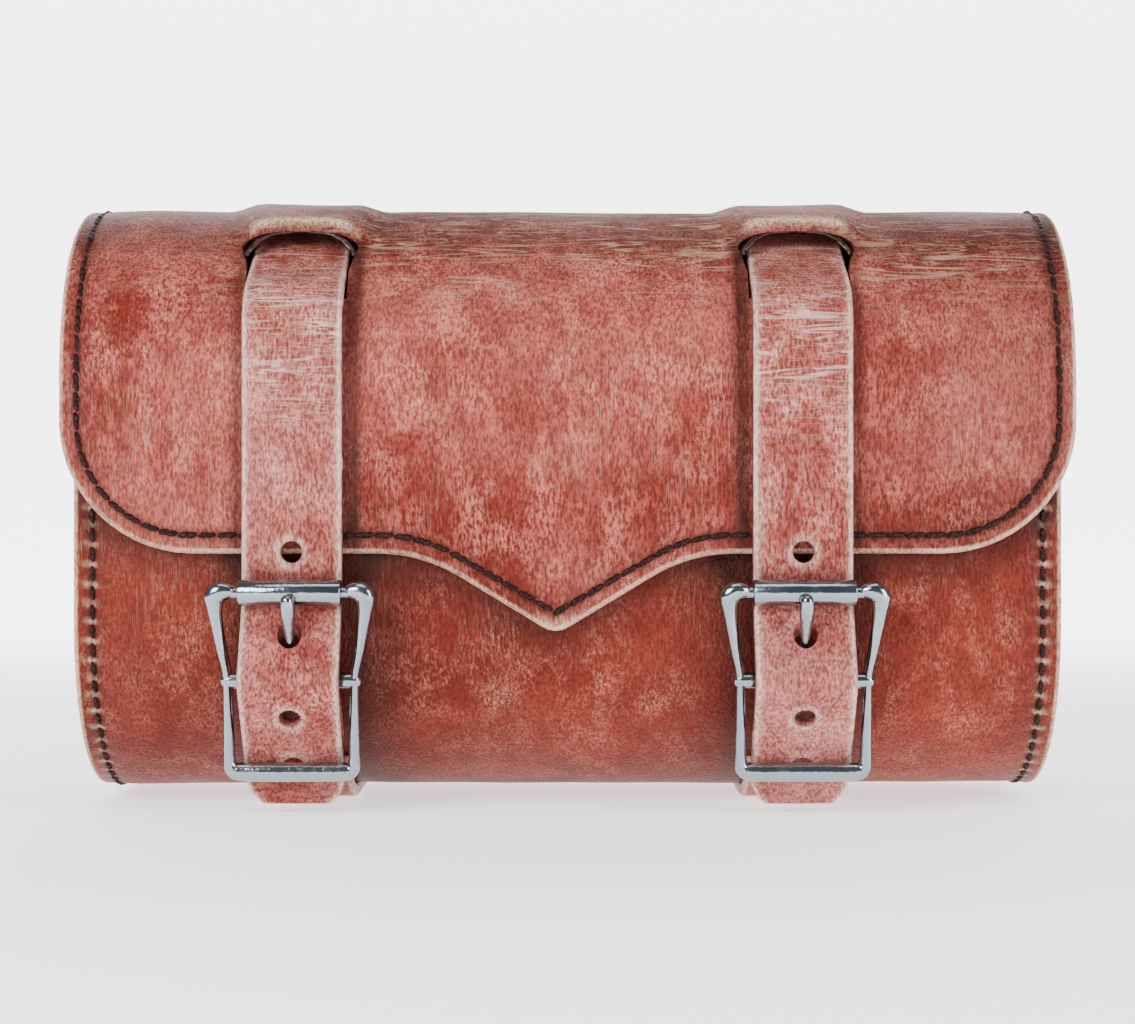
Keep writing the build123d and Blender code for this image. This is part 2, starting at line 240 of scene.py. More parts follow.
@dataclass(frozen=True)
class LeatherFinish:
    """Antiqued leather: dye clouds, rubbed highlights, creases, fine scratches, worn rims, and marked
    darkening that holds both stains and painted shade.
    """

    name: str
    deep: tuple = rgb(0.022, 0.0010, 0.0006)
    base: tuple = rgb(0.245, 0.016, 0.008)
    rubbed: tuple = rgb(0.66, 0.165, 0.130)
    warm: tuple = rgb(0.120, 0.010, 0.001)
    pale: tuple = rgb(0.90, 0.60, 0.42)
    rubbing: float = 0.60
    fleck: float = 0.74
    contrast: float = 0.60
    roughness: float = 0.42

    def build(self) -> bpy.types.Material:
        """Returns the material."""
        tree = ShaderTree(self.name)
        crease_zone, stain, rim, worn = (tree.mark(name) for name in ("crease", "stain", "rim", "worn"))
        clouds = tree.noise((13, 13, 17), 3.0, 0.35).ramp(0.34, 0.62)
        patches = tree.noise((52, 52, 44), 6.0, 3.1).ramp(0.36, 0.66)
        blotch = tree.noise((150, 150, 95), 7.0, 5.3).ramp(0.38, 0.68)
        fleck = tree.noise((1500, 1500, 560), 4.0, 7.7).ramp(0.38, 0.62)
        pore = tree.noise((2300, 2300, 1500), 3.0, 1.9).ramp(0.38, 0.62)
        lines = (self.creases(tree) * crease_zone).clamped()
        scratch = self.scratches(tree)
        colour = tree.blend(self.base, self.rubbed, clouds * self.rubbing)
        colour = tree.blend(colour, self.deep, (1 - patches) * 0.16 * self.contrast)
        colour = tree.blend(colour, self.warm, crease_zone * 0.85)
        colour = tree.blend(colour, self.deep, (1 - fleck) * (1 - blotch * 0.45) * self.contrast)
        colour = tree.blend(colour, self.rubbed, fleck * blotch * self.fleck)
        colour = tree.blend(colour, self.pale, fleck * pore * patches * blotch * 0.35)
        colour = tree.blend(colour, self.deep, (1 - pore) * 0.22)
        colour = tree.blend(colour, self.pale, lines * 0.58)
        colour = tree.blend(colour, self.pale, scratch * 0.20)
        # Darkening by the marked stain: real dark seams, edges and stains, plus painted shade beside the
        # straps, under the lid's edge and at the buckle rollers.
        colour = tree.blend(colour, self.deep, stain * (0.80 + blotch * 0.20))
        rubbed_rim = (rim - 0.83).ramp(0.0, 0.09) * (0.20 + patches * 0.35 + fleck * 0.50)
        colour = tree.blend(colour, self.pale, rubbed_rim.clamped() * 0.70)
        colour = tree.blend(colour, self.pale, (worn * (0.35 + fleck * 0.80)).clamped())
        grain = tree.cells(1100.0).ramp(0.1, 0.7)
        height = grain * 0.30 + fleck * 0.26 + blotch * 0.30 - lines * 1.0 - scratch * 0.25
        rough = self.roughness + (1 - fleck) * 0.10 + patches * 0.08 + crease_zone * 0.26 - stain * 0.06
        return tree.finish(
            Base_Color=colour, Roughness=rough.clamped(), Normal=tree.bump(height, 0.00024),
            Specular_IOR_Level=0.26, Specular_Tint=rgb(1.0, 0.72, 0.64),
        )

    @staticmethod
    def creases(tree: ShaderTree) -> Value:
        """Thin wavy lines that run along X and break up, coarse and fine."""
        coarse = tree.noise((24, 250, 250), 3.0, 0.4, 0.9).ridge().ramp(0.915, 0.985)
        fine = tree.noise((60, 560, 560), 2.0, 9.0, 0.6).ridge().ramp(0.93, 0.99)
        broken = tree.noise((60, 150, 150), 3.0, 2.0).ramp(0.44, 0.58)
        return coarse * broken + fine * (1 - broken) * 0.55

    @staticmethod
    def scratches(tree: ShaderTree) -> Value:
        """Sparse fine lines that run down the piece."""
        lines = tree.noise((900, 900, 40), 2.0, 4.4).ridge().ramp(0.95, 0.995)
        return lines * tree.noise((60, 60, 30), 2.0, 6.6).ramp(0.48, 0.66)


@dataclass(frozen=True)
class EdgeFinish:
    """Burnished cut edge: dark and glossy."""

    name: str = "burnished_edge"
    colour: tuple = rgb(0.020, 0.004, 0.003)

    def build(self) -> bpy.types.Material:
        """Returns the material."""
        tree = ShaderTree(self.name)
        cloud = tree.noise((400, 400, 400), 3.0)
        colour = tree.blend(self.colour, rgb(0.09, 0.018, 0.010), cloud.ramp(0.5, 0.75))
        rough = 0.16 + cloud * 0.16
        return tree.finish(Base_Color=colour, Roughness=rough, Normal=tree.bump(cloud, 0.0002))


@dataclass(frozen=True)
class ThreadFinish:
    """Waxed two-ply thread."""

    name: str = "waxed_thread"

    def build(self) -> bpy.types.Material:
        """Returns the material."""
        tree = ShaderTree(self.name)
        ply = tree.noise((1600, 1600, 1600), 2.0)
        colour = tree.blend(rgb(0.006, 0.002, 0.002), rgb(0.045, 0.012, 0.009), ply.ramp(0.42, 0.66))
        rough = 0.45 + ply * 0.2
        return tree.finish(
            Base_Color=colour, Roughness=rough, Normal=tree.bump(ply, 0.0002), Specular_IOR_Level=0.15
        )


@dataclass(frozen=True)
class PlatedFinish:
    """Polished nickel plate with faint handling marks."""

    name: str
    colour: tuple = rgb(0.28, 0.33, 0.37)
    roughness: float = 0.09

    def build(self) -> bpy.types.Material:
        """Returns the material."""
        tree = ShaderTree(self.name)
        smear = tree.noise((160, 160, 160), 4.0).ramp(0.35, 0.75)
        fine = tree.noise((2400, 300, 2400), 2.0, 2.0)
        colour = tree.blend(self.colour, rgb(0.40, 0.41, 0.43), smear * 0.35)
        rough = self.roughness + smear * 0.12 + fine * 0.03
        normal = tree.bump(smear * 0.6 + fine * 0.1, 0.00012)
        return tree.finish(Base_Color=colour, Metallic=1.0, Roughness=rough, Normal=normal)


@dataclass(frozen=True)
class StudioFinish:
    """Pale paper for the floor and backdrop that glows: dim near the front, bright towards the back."""

    name: str = "studio_paper"

    def build(self) -> bpy.types.Material:
        """Returns the material."""
        tree = ShaderTree(self.name)
        white = rgb(1.0, 1.0, 1.0)
        glow = tree.blend(rgb(0.30, 0.30, 0.30), white, tree.mark("glow"))
        return tree.finish(Base_Color=white, Roughness=0.9, Emission_Color=glow, Emission_Strength=3.6)


# ---------------------------------------------------------------- lines and sheets


def rounded(corners: Sequence[tuple[float, float]], radii: Sequence[float]) -> np.ndarray:
    """Points along straight runs joined by tangent arcs.

    Args:
        corners: the run's corners, first and last included.
        radii: one radius for each inner corner.

    Returns:
        An array of 2-D points.
    """
    points = [np.array(corners[0], float)]
    for before, corner, after, radius in zip(corners, corners[1:], corners[2:], radii):
        corner = np.array(corner, float)
        back = np.array(before, float) - corner
        ahead = np.array(after, float) - corner
        back /= np.linalg.norm(back)
        ahead /= np.linalg.norm(ahead)
        half = math.acos(np.clip(back @ ahead, -1, 1)) / 2
        reach = radius / math.tan(half)
        centre = corner + (back + ahead) / np.linalg.norm(back + ahead) * radius / math.sin(half)
        start = corner + back * reach - centre
        end = corner + ahead * reach - centre
        turn = math.atan2(start[0] * end[1] - start[1] * end[0], start @ end)
        for angle in np.linspace(0, turn, 25):
            spin = np.array([[math.cos(angle), -math.sin(angle)], [math.sin(angle), math.cos(angle)]])
            points.append(centre + spin @ start)
    points.append(np.array(corners[-1], float))
    return np.array(points)


class Track:
    """A line in the YZ plane, measured by its length, with its outward side on the left of travel."""

    def __init__(self, points: np.ndarray, step: float = 0.4 * MM) -> None:
        """Samples a line of (y, z) points evenly."""
        lengths = np.r_[0, np.cumsum(np.linalg.norm(np.diff(points, axis=0), axis=1))]
        self.length = float(lengths[-1])
        self.s = np.linspace(0, self.length, int(self.length / step) + 2)
        self.yz = np.stack([np.interp(self.s, lengths, points[:, k]) for k in (0, 1)], 1)
        tangent = np.gradient(self.yz, self.s, axis=0)
        tangent /= np.linalg.norm(tangent, axis=1)[:, None]
        smooth = np.ones(7) / 7
        padded = np.pad(tangent, ((3, 3), (0, 0)), "edge")
        tangent = np.stack([np.convolve(padded[:, k], smooth, "valid") for k in (0, 1)], 1)
        self.tangent = tangent / np.linalg.norm(tangent, axis=1)[:, None]

    def at(self, s: np.ndarray) -> tuple[np.ndarray, np.ndarray]:
        """Points and outward normals at lengths, as (y, z) pairs."""
        place = np.stack([np.interp(s, self.s, self.yz[:, k]) for k in (0, 1)], -1)
        along = np.stack([np.interp(s, self.s, self.tangent[:, k]) for k in (0, 1)], -1)
        along /= np.linalg.norm(along, axis=-1)[..., None]
        return place, np.stack([along[..., 1], -along[..., 0]], -1)

    def place(self, x: np.ndarray, s: np.ndarray, out: np.ndarray) -> np.ndarray:
        """3-D points at x, a length and a distance outward."""
        yz, normal = self.at(s)
        moved = yz + normal * np.asarray(out)[..., None]
        return np.stack([np.broadcast_to(x, moved.shape[:-1]), moved[..., 0], moved[..., 1]], -1)

    def nearest(self, points: np.ndarray) -> np.ndarray:
        """The length along the line nearest each 3-D point."""
        found = []
        for block in np.array_split(points[:, 1:], max(1, len(points) // 4000)):
            gap = ((block[:, None, :] - self.yz[None, :, :]) ** 2).sum(2)
            found.append(self.s[gap.argmin(1)])
        return np.concatenate(found)

    def front_at(self, height: float, share: float = 0.5) -> float:
        """The length at which the line, past a share of its length, is at a height."""
        heights = np.where(self.s > self.length * share, self.yz[:, 1], math.inf)
        return float(self.s[np.abs(heights - height).argmin()])


def ring_faces(count: int, sides: int, closed: bool, capped: bool = False) -> list[tuple[int, ...]]:
    """Faces between rings of points that follow one another.

    Args:
        count: how many rings there are.
        sides: points in each ring.
        closed: whether the last ring meets the first.
        capped: whether a face closes the first ring and another the last.

    Returns:
        The faces as indices of points.
    """
    faces = []
    for i in range(count if closed else count - 1):
        a, b = i * sides, (i + 1) % count * sides
        faces += [(a + k, a + (k + 1) % sides, b + (k + 1) % sides, b + k) for k in range(sides)]
    if capped:
        faces += [tuple(range(sides)), tuple(range((count - 1) * sides, count * sides))]
    return faces


def spread(low: float, high: float, step: float, ends: Sequence[float]) -> np.ndarray:
    """Places from low to high a step apart, with closer ones at given distances from both ends."""
    inner = max(ends)
    middle = np.linspace(low + inner, high - inner, max(2, int((high - low - 2 * inner) / step) + 1))
    near = [low + d for d in ends] + [high - d for d in ends]
    return np.unique(np.round(np.concatenate([middle, near]), 7))


RIM = tuple(d * MM for d in (0.0, 0.15, 0.45, 0.9, 1.5, 2.4, 3.4, 4.3, 5.4, 7.0))


def bell(x: np.ndarray, flat: float, fade: float) -> np.ndarray:
    """1 within flat of zero, falling smoothly to 0 over fade."""
    t = np.clip((np.abs(x) - flat) / fade, 0, 1)
    return 1 - t * t * (3 - 2 * t)


def hump(distance: np.ndarray, width: float) -> np.ndarray:
    """1 at a distance of zero, fading on both sides over about a width."""
    return np.exp(-((distance / width) ** 2))


def rise(x: np.ndarray, low: float, high: float) -> np.ndarray:
    """A smooth step from 0 at low to 1 at high."""
    t = np.clip((x - low) / (high - low), 0, 1)
    return t * t * (3 - 2 * t)


def waves(x: np.ndarray, s: np.ndarray, scale: float, seed: int) -> np.ndarray:
    """A gentle random unevenness of about one unit, from a few crossed waves of a length."""
    random = np.random.default_rng(seed)
    total = np.zeros(np.broadcast(x, s).shape)
    for _ in range(7):
        angle = random.uniform(0, math.tau)
        wide = scale * random.uniform(0.6, 1.8)
        phase = random.uniform(0, 6)
        total = total + np.sin((x * math.cos(angle) + s * math.sin(angle)) / wide * math.tau + phase)
    return total / 4


def new_mesh(name: str, points: np.ndarray, faces: Sequence[Sequence[int]]) -> bpy.types.Object:
    """A linked mesh object with its doubles merged and smooth shading."""
    mesh = bpy.data.meshes.new(name)
    mesh.from_pydata([tuple(p) for p in points], [], [tuple(f) for f in faces])
    piece = bpy.data.objects.new(name, mesh)
    bpy.context.scene.collection.objects.link(piece)
    weld(piece)
    mesh.shade_smooth()
    return piece


def weld(piece: bpy.types.Object) -> None:
    """Merges a piece's doubles and turns its faces outward."""
    work = bmesh.new()
    work.from_mesh(piece.data)
    bmesh.ops.remove_doubles(work, verts=work.verts, dist=2e-6)
    bmesh.ops.dissolve_degenerate(work, edges=work.edges, dist=1e-7)
    bmesh.ops.recalc_face_normals(work, faces=work.faces)
    work.to_mesh(piece.data)
    work.free()


def bake_modifiers(piece: bpy.types.Object) -> None:
    """Replaces a piece's mesh by its evaluated one and drops the modifiers."""
    evaluated = piece.evaluated_get(bpy.context.evaluated_depsgraph_get())
    mesh = bpy.data.meshes.new_from_object(evaluated)
    piece.modifiers.clear()
    old = piece.data
    piece.data = mesh
    bpy.data.meshes.remove(old)


@dataclass
class Sheet:
    """One thick piece of leather over a track, with rounded rims."""

    name: str
    track: Track
    x: np.ndarray
    s: np.ndarray
    near: np.ndarray
    thickness: float
    lift: Callable[[np.ndarray, np.ndarray], np.ndarray]
    nose: float = 1.5 * MM
    roundness: float = 2

    def build(self) -> bpy.types.Object:
        """Returns the closed mesh; x, s and near are places, lengths and distances to the rim in columns."""
        distance = np.clip(self.near, 0, self.nose) / self.nose
        half = self.thickness / 2 * np.sqrt(np.clip(1 - (1 - distance) ** self.roundness, 0, 1))
        middle = self.lift(self.x, self.s) - self.thickness / 2
        outer = self.track.place(self.x, self.s, middle + half).reshape(-1, 3)
        inner = self.track.place(self.x, self.s, middle - half).reshape(-1, 3)
        n, m = self.s.shape
        faces = []
        for i in range(n - 1):
            for j in range(m - 1):
                a, b = i * m + j, (i + 1) * m + j
                faces.append((a, b, b + 1, a + 1))
                faces.append(tuple(k + n * m for k in (a + 1, b + 1, b, a)))
        return new_mesh(self.name, np.concatenate([outer, inner]), faces)


def paint(piece: bpy.types.Object, **marks: np.ndarray) -> None:
    """Stores numbers on a piece's points by name."""
    for name, values in marks.items():
        layer = piece.data.attributes.new(name, "FLOAT", "POINT")
        layer.data.foreach_set("value", np.ascontiguousarray(np.clip(values, 0, 1), np.float32))


def points_of(piece: bpy.types.Object) -> np.ndarray:
    """A piece's points as an array."""
    flat = np.empty(len(piece.data.vertices) * 3, np.float32)
    piece.data.vertices.foreach_get("co", flat)
    return flat.reshape(-1, 3).astype(float)


def tube(
    name: str, centres: Sequence[Point], wide: Sequence[float], deep: Sequence[float], sides: int
) -> bpy.types.Object:
    """A bar along a smooth line that lies in one plane across Y, or in the plane x = 0.

    Args:
        name: the piece's name.
        centres: control points of the line.
        wide: half widths in the line's plane, one for each point.
        deep: half widths across that plane.
        sides: faces round the bar.

    Returns:
        The bar, with round ends.
    """
    control = np.array([(*c, w, d) for c, w, d in zip(centres, wide, deep)], float)
    line = smooth_line(control, 8)
    flat_x = np.ptp(line[:, 0]) < 1e-9
    across = np.array([1.0, 0, 0]) if flat_x else np.array([0, 1.0, 0])
    tangent = np.gradient(line[:, :3], axis=0)
    tangent /= np.linalg.norm(tangent, axis=1)[:, None]
    normal = np.cross(across, tangent)
    angles = np.linspace(0, math.tau, sides, endpoint=False)
    rings = [
        p[:3] + p[3] * shrink * math.cos(a) * n + p[4] * shrink * math.sin(a) * across + shift
        for p, n, shrink, shift in with_caps(line, normal, tangent)
        for a in angles
    ]
    return new_mesh(name, np.array(rings), ring_faces(len(rings) // sides, sides, False, True))


def with_caps(line: np.ndarray, normal: np.ndarray, tangent: np.ndarray) -> list[tuple]:
    """The rings of a bar with rounded ends: point, normal, shrink and shift."""
    steps = [math.radians(a) for a in (22, 44, 66, 82)]
    ahead, behind = tangent[-1] * line[-1][3], -tangent[0] * line[0][3]
    first = [(line[0], normal[0], math.cos(a), behind * math.sin(a)) for a in reversed(steps)]
    last = [(line[-1], normal[-1], math.cos(a), ahead * math.sin(a)) for a in steps]
    return first + [(p, n, 1.0, 0.0) for p, n in zip(line, normal)] + last


def smooth_line(control: np.ndarray, steps: int) -> np.ndarray:
    """A Catmull-Rom line through control points of any dimension."""
    last = len(control) - 1
    samples = []
    for i in range(last):
        p = [control[min(max(i + k, 0), last)] for k in (-1, 0, 1, 2)]
        square = 2 * p[0] - 5 * p[1] + 4 * p[2] - p[3]
        cube = 3 * p[1] - p[0] - 3 * p[2] + p[3]
        for t in np.linspace(0, 1, steps, endpoint=False):
            samples.append(0.5 * (2 * p[1] + (p[2] - p[0]) * t + square * t**2 + cube * t**3))
    samples.append(control[-1])
    return np.array(samples)


def turned(name: str, profile: Sequence[tuple[float, float]], sides: int = 40) -> bpy.types.Object:
    """A closed shape turned about Z.

    Args:
        name: the piece's name.
        profile: (radius, height) points; it closes on itself if it doesn't touch the axis.
        sides: faces round the axis.

    Returns:
        The shape about the origin.
    """
    rings = np.array([
        (r * math.cos(a), r * math.sin(a), z)
        for r, z in profile
        for a in np.linspace(0, math.tau, sides, endpoint=False)
    ])
    hollow = min(r for r, _ in profile) > 1e-9
    return new_mesh(name, rings, ring_faces(len(profile), sides, hollow))


def join(name: str, parts: Sequence[bpy.types.Object]) -> bpy.types.Object:
    """Joins pieces into the first, which takes the name."""
    bpy.ops.object.select_all(action="DESELECT")
    for part in parts:
        part.select_set(True)
    bpy.context.view_layer.objects.active = parts[0]
    bpy.ops.object.join()
    parts[0].name = name
    return parts[0]


def move(piece: bpy.types.Object, matrix: Matrix) -> bpy.types.Object:
    """Moves a piece's mesh, so that its object stays at the origin."""
    piece.data.transform(matrix)
    return piece


def cut(piece: bpy.types.Object, cutters: Sequence[bpy.types.Object]) -> None:
    """Takes cutters out of a piece and removes them."""
    for cutter in cutters:
        modifier = piece.modifiers.new("cut", "BOOLEAN")
        modifier.operation = "DIFFERENCE"
        modifier.solver = "EXACT"
        modifier.object = cutter
    bpy.context.view_layer.update()
    bake_modifiers(piece)
    for cutter in cutters:
        bpy.data.objects.remove(cutter)
    piece.data.shade_smooth()
    sharpen(piece)


def sharpen(piece: bpy.types.Object, degrees: float = 42.0) -> None:
    """Marks a piece's steep edges as sharp."""
    piece.data.set_sharp_from_angle(angle=math.radians(degrees))


# ---------------------------------------------------------------- stitches


PLY_LENGTH = 0.33      # half of a ply's length, over the stitch's
PLY_WIDTH = 0.42       # half of a ply's width, over the thread's
PLY_SHIFT = 0.20       # from the stitch's middle to a ply's, over its length
PLY_SLANT = 0.24       # turn of each ply, in radians


class Stitcher(NodeTree):
    """Lays two-ply stitches at marked points with Geometry Nodes."""

    def __init__(self, material: bpy.types.Material) -> None:
        """Builds the node group once, ending in a material."""
        self.group = bpy.data.node_groups.new("stitches", "GeometryNodeTree")
        super().__init__(self.group)
        face = self.group.interface
        face.new_socket("Geometry", in_out="INPUT", socket_type="NodeSocketGeometry")
        self.ids = {}
        for name, kind in (("Length", "Float"), ("Width", "Float"), ("Slant", "Float"), ("Seed", "Int")):
            self.ids[name] = face.new_socket(name, in_out="INPUT", socket_type="NodeSocket" + kind).identifier
        face.new_socket("Geometry", in_out="OUTPUT", socket_type="NodeSocketGeometry")
        self._wire(material)

    def _wire(self, material: bpy.types.Material) -> None:
        """Instance a two-ply stitch on each point, turned to the seam, then realize it."""
        source = self.node("NodeGroupInput", {}, {}).outputs
        plies = []
        for turn in (-1.0, 1.0):
            ball = self.out("GeometryNodeMeshUVSphere", {}, {"Segments": 8, "Rings": 6, "Radius": 1.0})
            half = self._times(source["Length"], PLY_LENGTH)
            thin = self._times(source["Width"], PLY_WIDTH)
            away = self._times(source["Length"], PLY_SHIFT * turn)
            inputs = {
                "Geometry": ball,
                "Translation": self._vector(X=away),
                "Rotation": self._vector(Z=source["Slant"]),
                "Scale": self._vector(X=half, Y=thin, Z=thin),
            }
            plies.append(self.out("GeometryNodeTransform", {}, inputs))
        pair = self.node("GeometryNodeJoinGeometry", {}, {})
        for ply in plies:
            self.links.new(ply, pair.inputs[0])
        rotation = None
        for axis, name in (("X", "seam_along"), ("Z", "seam_out")):
            settings = {"data_type": "FLOAT_VECTOR"}
            vector = self.node("GeometryNodeInputNamedAttribute", settings, {"Name": name})
            settings = {"axis": axis, "pivot_axis": "AUTO" if axis == "X" else "X"}
            inputs = {"Vector": vector.outputs["Attribute"]}
            if rotation:
                inputs["Rotation"] = rotation
            rotation = self.out("FunctionNodeAlignRotationToVector", settings, inputs)
        inputs = {0: (0.93, 0.9, 0.9), 1: (1.07, 1.1, 1.1), "Seed": source["Seed"]}
        size = self.out("FunctionNodeRandomValue", {"data_type": "FLOAT_VECTOR"}, inputs)
        inputs = {"Points": source["Geometry"], "Instance": pair.outputs[0]}
        inputs.update({"Rotation": rotation, "Scale": size})
        laid = self.out("GeometryNodeInstanceOnPoints", {}, inputs)
        real = self.out("GeometryNodeRealizeInstances", {}, {"Geometry": laid})
        smooth = self.out("GeometryNodeSetShadeSmooth", {}, {"Geometry": real})
        done = self.out("GeometryNodeSetMaterial", {}, {"Geometry": smooth, "Material": material})
        self.node("NodeGroupOutput", {}, {"Geometry": done})

    def _times(self, term: bpy.types.NodeSocket, factor: float) -> bpy.types.NodeSocket:
        """A socket's value times a number."""
        return self.out("ShaderNodeMath", {"operation": "MULTIPLY"}, {0: term, 1: factor})

    def _vector(self, **axes: bpy.types.NodeSocket) -> bpy.types.NodeSocket:
        """A vector of sockets by axis, and 0 elsewhere."""
        return self.out("ShaderNodeCombineXYZ", {}, axes)

    def sew(
        self, name: str, places: np.ndarray, along: np.ndarray, out: np.ndarray,
        length: float, width: float, seed: int,
    ) -> bpy.types.Object:
        """Makes one seam.

        Args:
            name: the seam's name.
            places: middle of each stitch.
            along: the seam's direction at each.
            out: the leather's outward normal at each.
            length: stitch length in metres.
            width: thread width in metres.
            seed: seed of the small differences.

        Returns:
            The seam as a plain mesh.
        """
        mesh = bpy.data.meshes.new(name)
        mesh.from_pydata([tuple(p) for p in places], [], [])
        for key, values in (("seam_along", along), ("seam_out", out)):
            layer = mesh.attributes.new(key, "FLOAT_VECTOR", "POINT")
            layer.data.foreach_set("vector", np.ascontiguousarray(values, np.float32).ravel())
        piece = bpy.data.objects.new(name, mesh)
        bpy.context.scene.collection.objects.link(piece)
        modifier = piece.modifiers.new("stitches", "NODES")
        modifier.node_group = self.group
        for key, value in (("Length", length), ("Width", width), ("Slant", PLY_SLANT), ("Seed", seed)):
            modifier[self.ids[key]] = value
        bpy.context.view_layer.update()
        bake_modifiers(piece)
        return piece


def evenly(points: np.ndarray, pitch: float) -> tuple[np.ndarray, np.ndarray]:
    """Middles of steps of about a pitch along a line of points, and the line's direction there."""
    lengths = np.r_[0, np.cumsum(np.linalg.norm(np.diff(points, axis=0), axis=1))]
    count = int(lengths[-1] / pitch)
    where = (np.arange(count) + 0.5) * lengths[-1] / count
    sample = lambda s: np.stack([np.interp(s, lengths, points[:, k]) for k in range(3)], 1)
    along = sample(where + 0.4 * MM) - sample(where - 0.4 * MM)
    return sample(where), along / np.linalg.norm(along, axis=1)[:, None]


# ---------------------------------------------------------------- the bag


@dataclass
class Sizes:
    """Places read from the frame, and the few sizes that the frame's boxes don't give."""

    corner: float = 45 * MM
    lid_front_radius: float = 48 * MM
    leather: float = 3.2 * MM
    lid_stack: float = 3.75 * MM
    strap_width: float = 25.4 * MM
    strap_thick: float = 3.4 * MM
    standoff: float = 0.7 * MM
    seam_pitch: float = 4.9 * MM
    seam_inset: float = 4.7 * MM
    wrap: tuple = field(default_factory=lambda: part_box("body_wrap"))
    lid: tuple = field(default_factory=lambda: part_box("lid"))

    @property
    def front(self) -> float:
        """The body's front face."""
        return self.wrap[0][1]

    @property
    def back(self) -> float:
        """The body's back face."""
        return self.wrap[1][1]

    @property
    def bottom(self) -> float:
        """The body's underside."""
        return self.wrap[0][2]

    @property
    def hinge(self) -> float:
        """Height of the line between back and lid."""
        return self.wrap[1][2]

    @property
    def lid_front(self) -> float:
        """The lid's front face."""
        return self.lid[0][1]

    @property
    def lid_top(self) -> float:
        """The lid's top face."""
        return self.lid[1][2]

    def strap_x(self, side: Side) -> float:
        """Middle of a strap."""
        low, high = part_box("strap_" + side.value)
        return (low[0] + high[0]) / 2

    def joint(self, name: str) -> Vector:
        """Where a joint is."""
        return Vector(next(j["pos_m"] for j in frame["joints"] if j["name"] == name))

    def bar(self, side: Side) -> Vector:
        """The middle of a buckle's centre bar."""
        return self.joint(f"tongue_{side.value}_swing")


SIZES = Sizes()
BUCKLE_TILT = math.radians(7.5)     # the buckle's lean about its centre bar
TONGUE_HOLE = 3.05 * MM             # half width of the hole that the tongue has worn
RIM_FADE = 10 * MM                  # how far in from an edge its rubbed rim is painted


def declare(
    piece: bpy.types.Object, body: str, slot: str, material: Optional[bpy.types.Material], *nodes: str
) -> None:
    """Dresses a piece and says what it rides on, what it stands for and its slot.

    Args:
        piece: the piece.
        body: the body that it rides on, or nothing for a blended one.
        slot: not used.
        material: its finish, or None if it has one.
        nodes: the CAD nodes that it replaces.
    """
    if material:
        piece.data.materials.clear()
        piece.data.materials.append(material)
    if body:
        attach(piece, body)
    if nodes:
        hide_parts(*nodes)
    LOG.info("%s: %d faces", piece.name, len(piece.data.polygons))


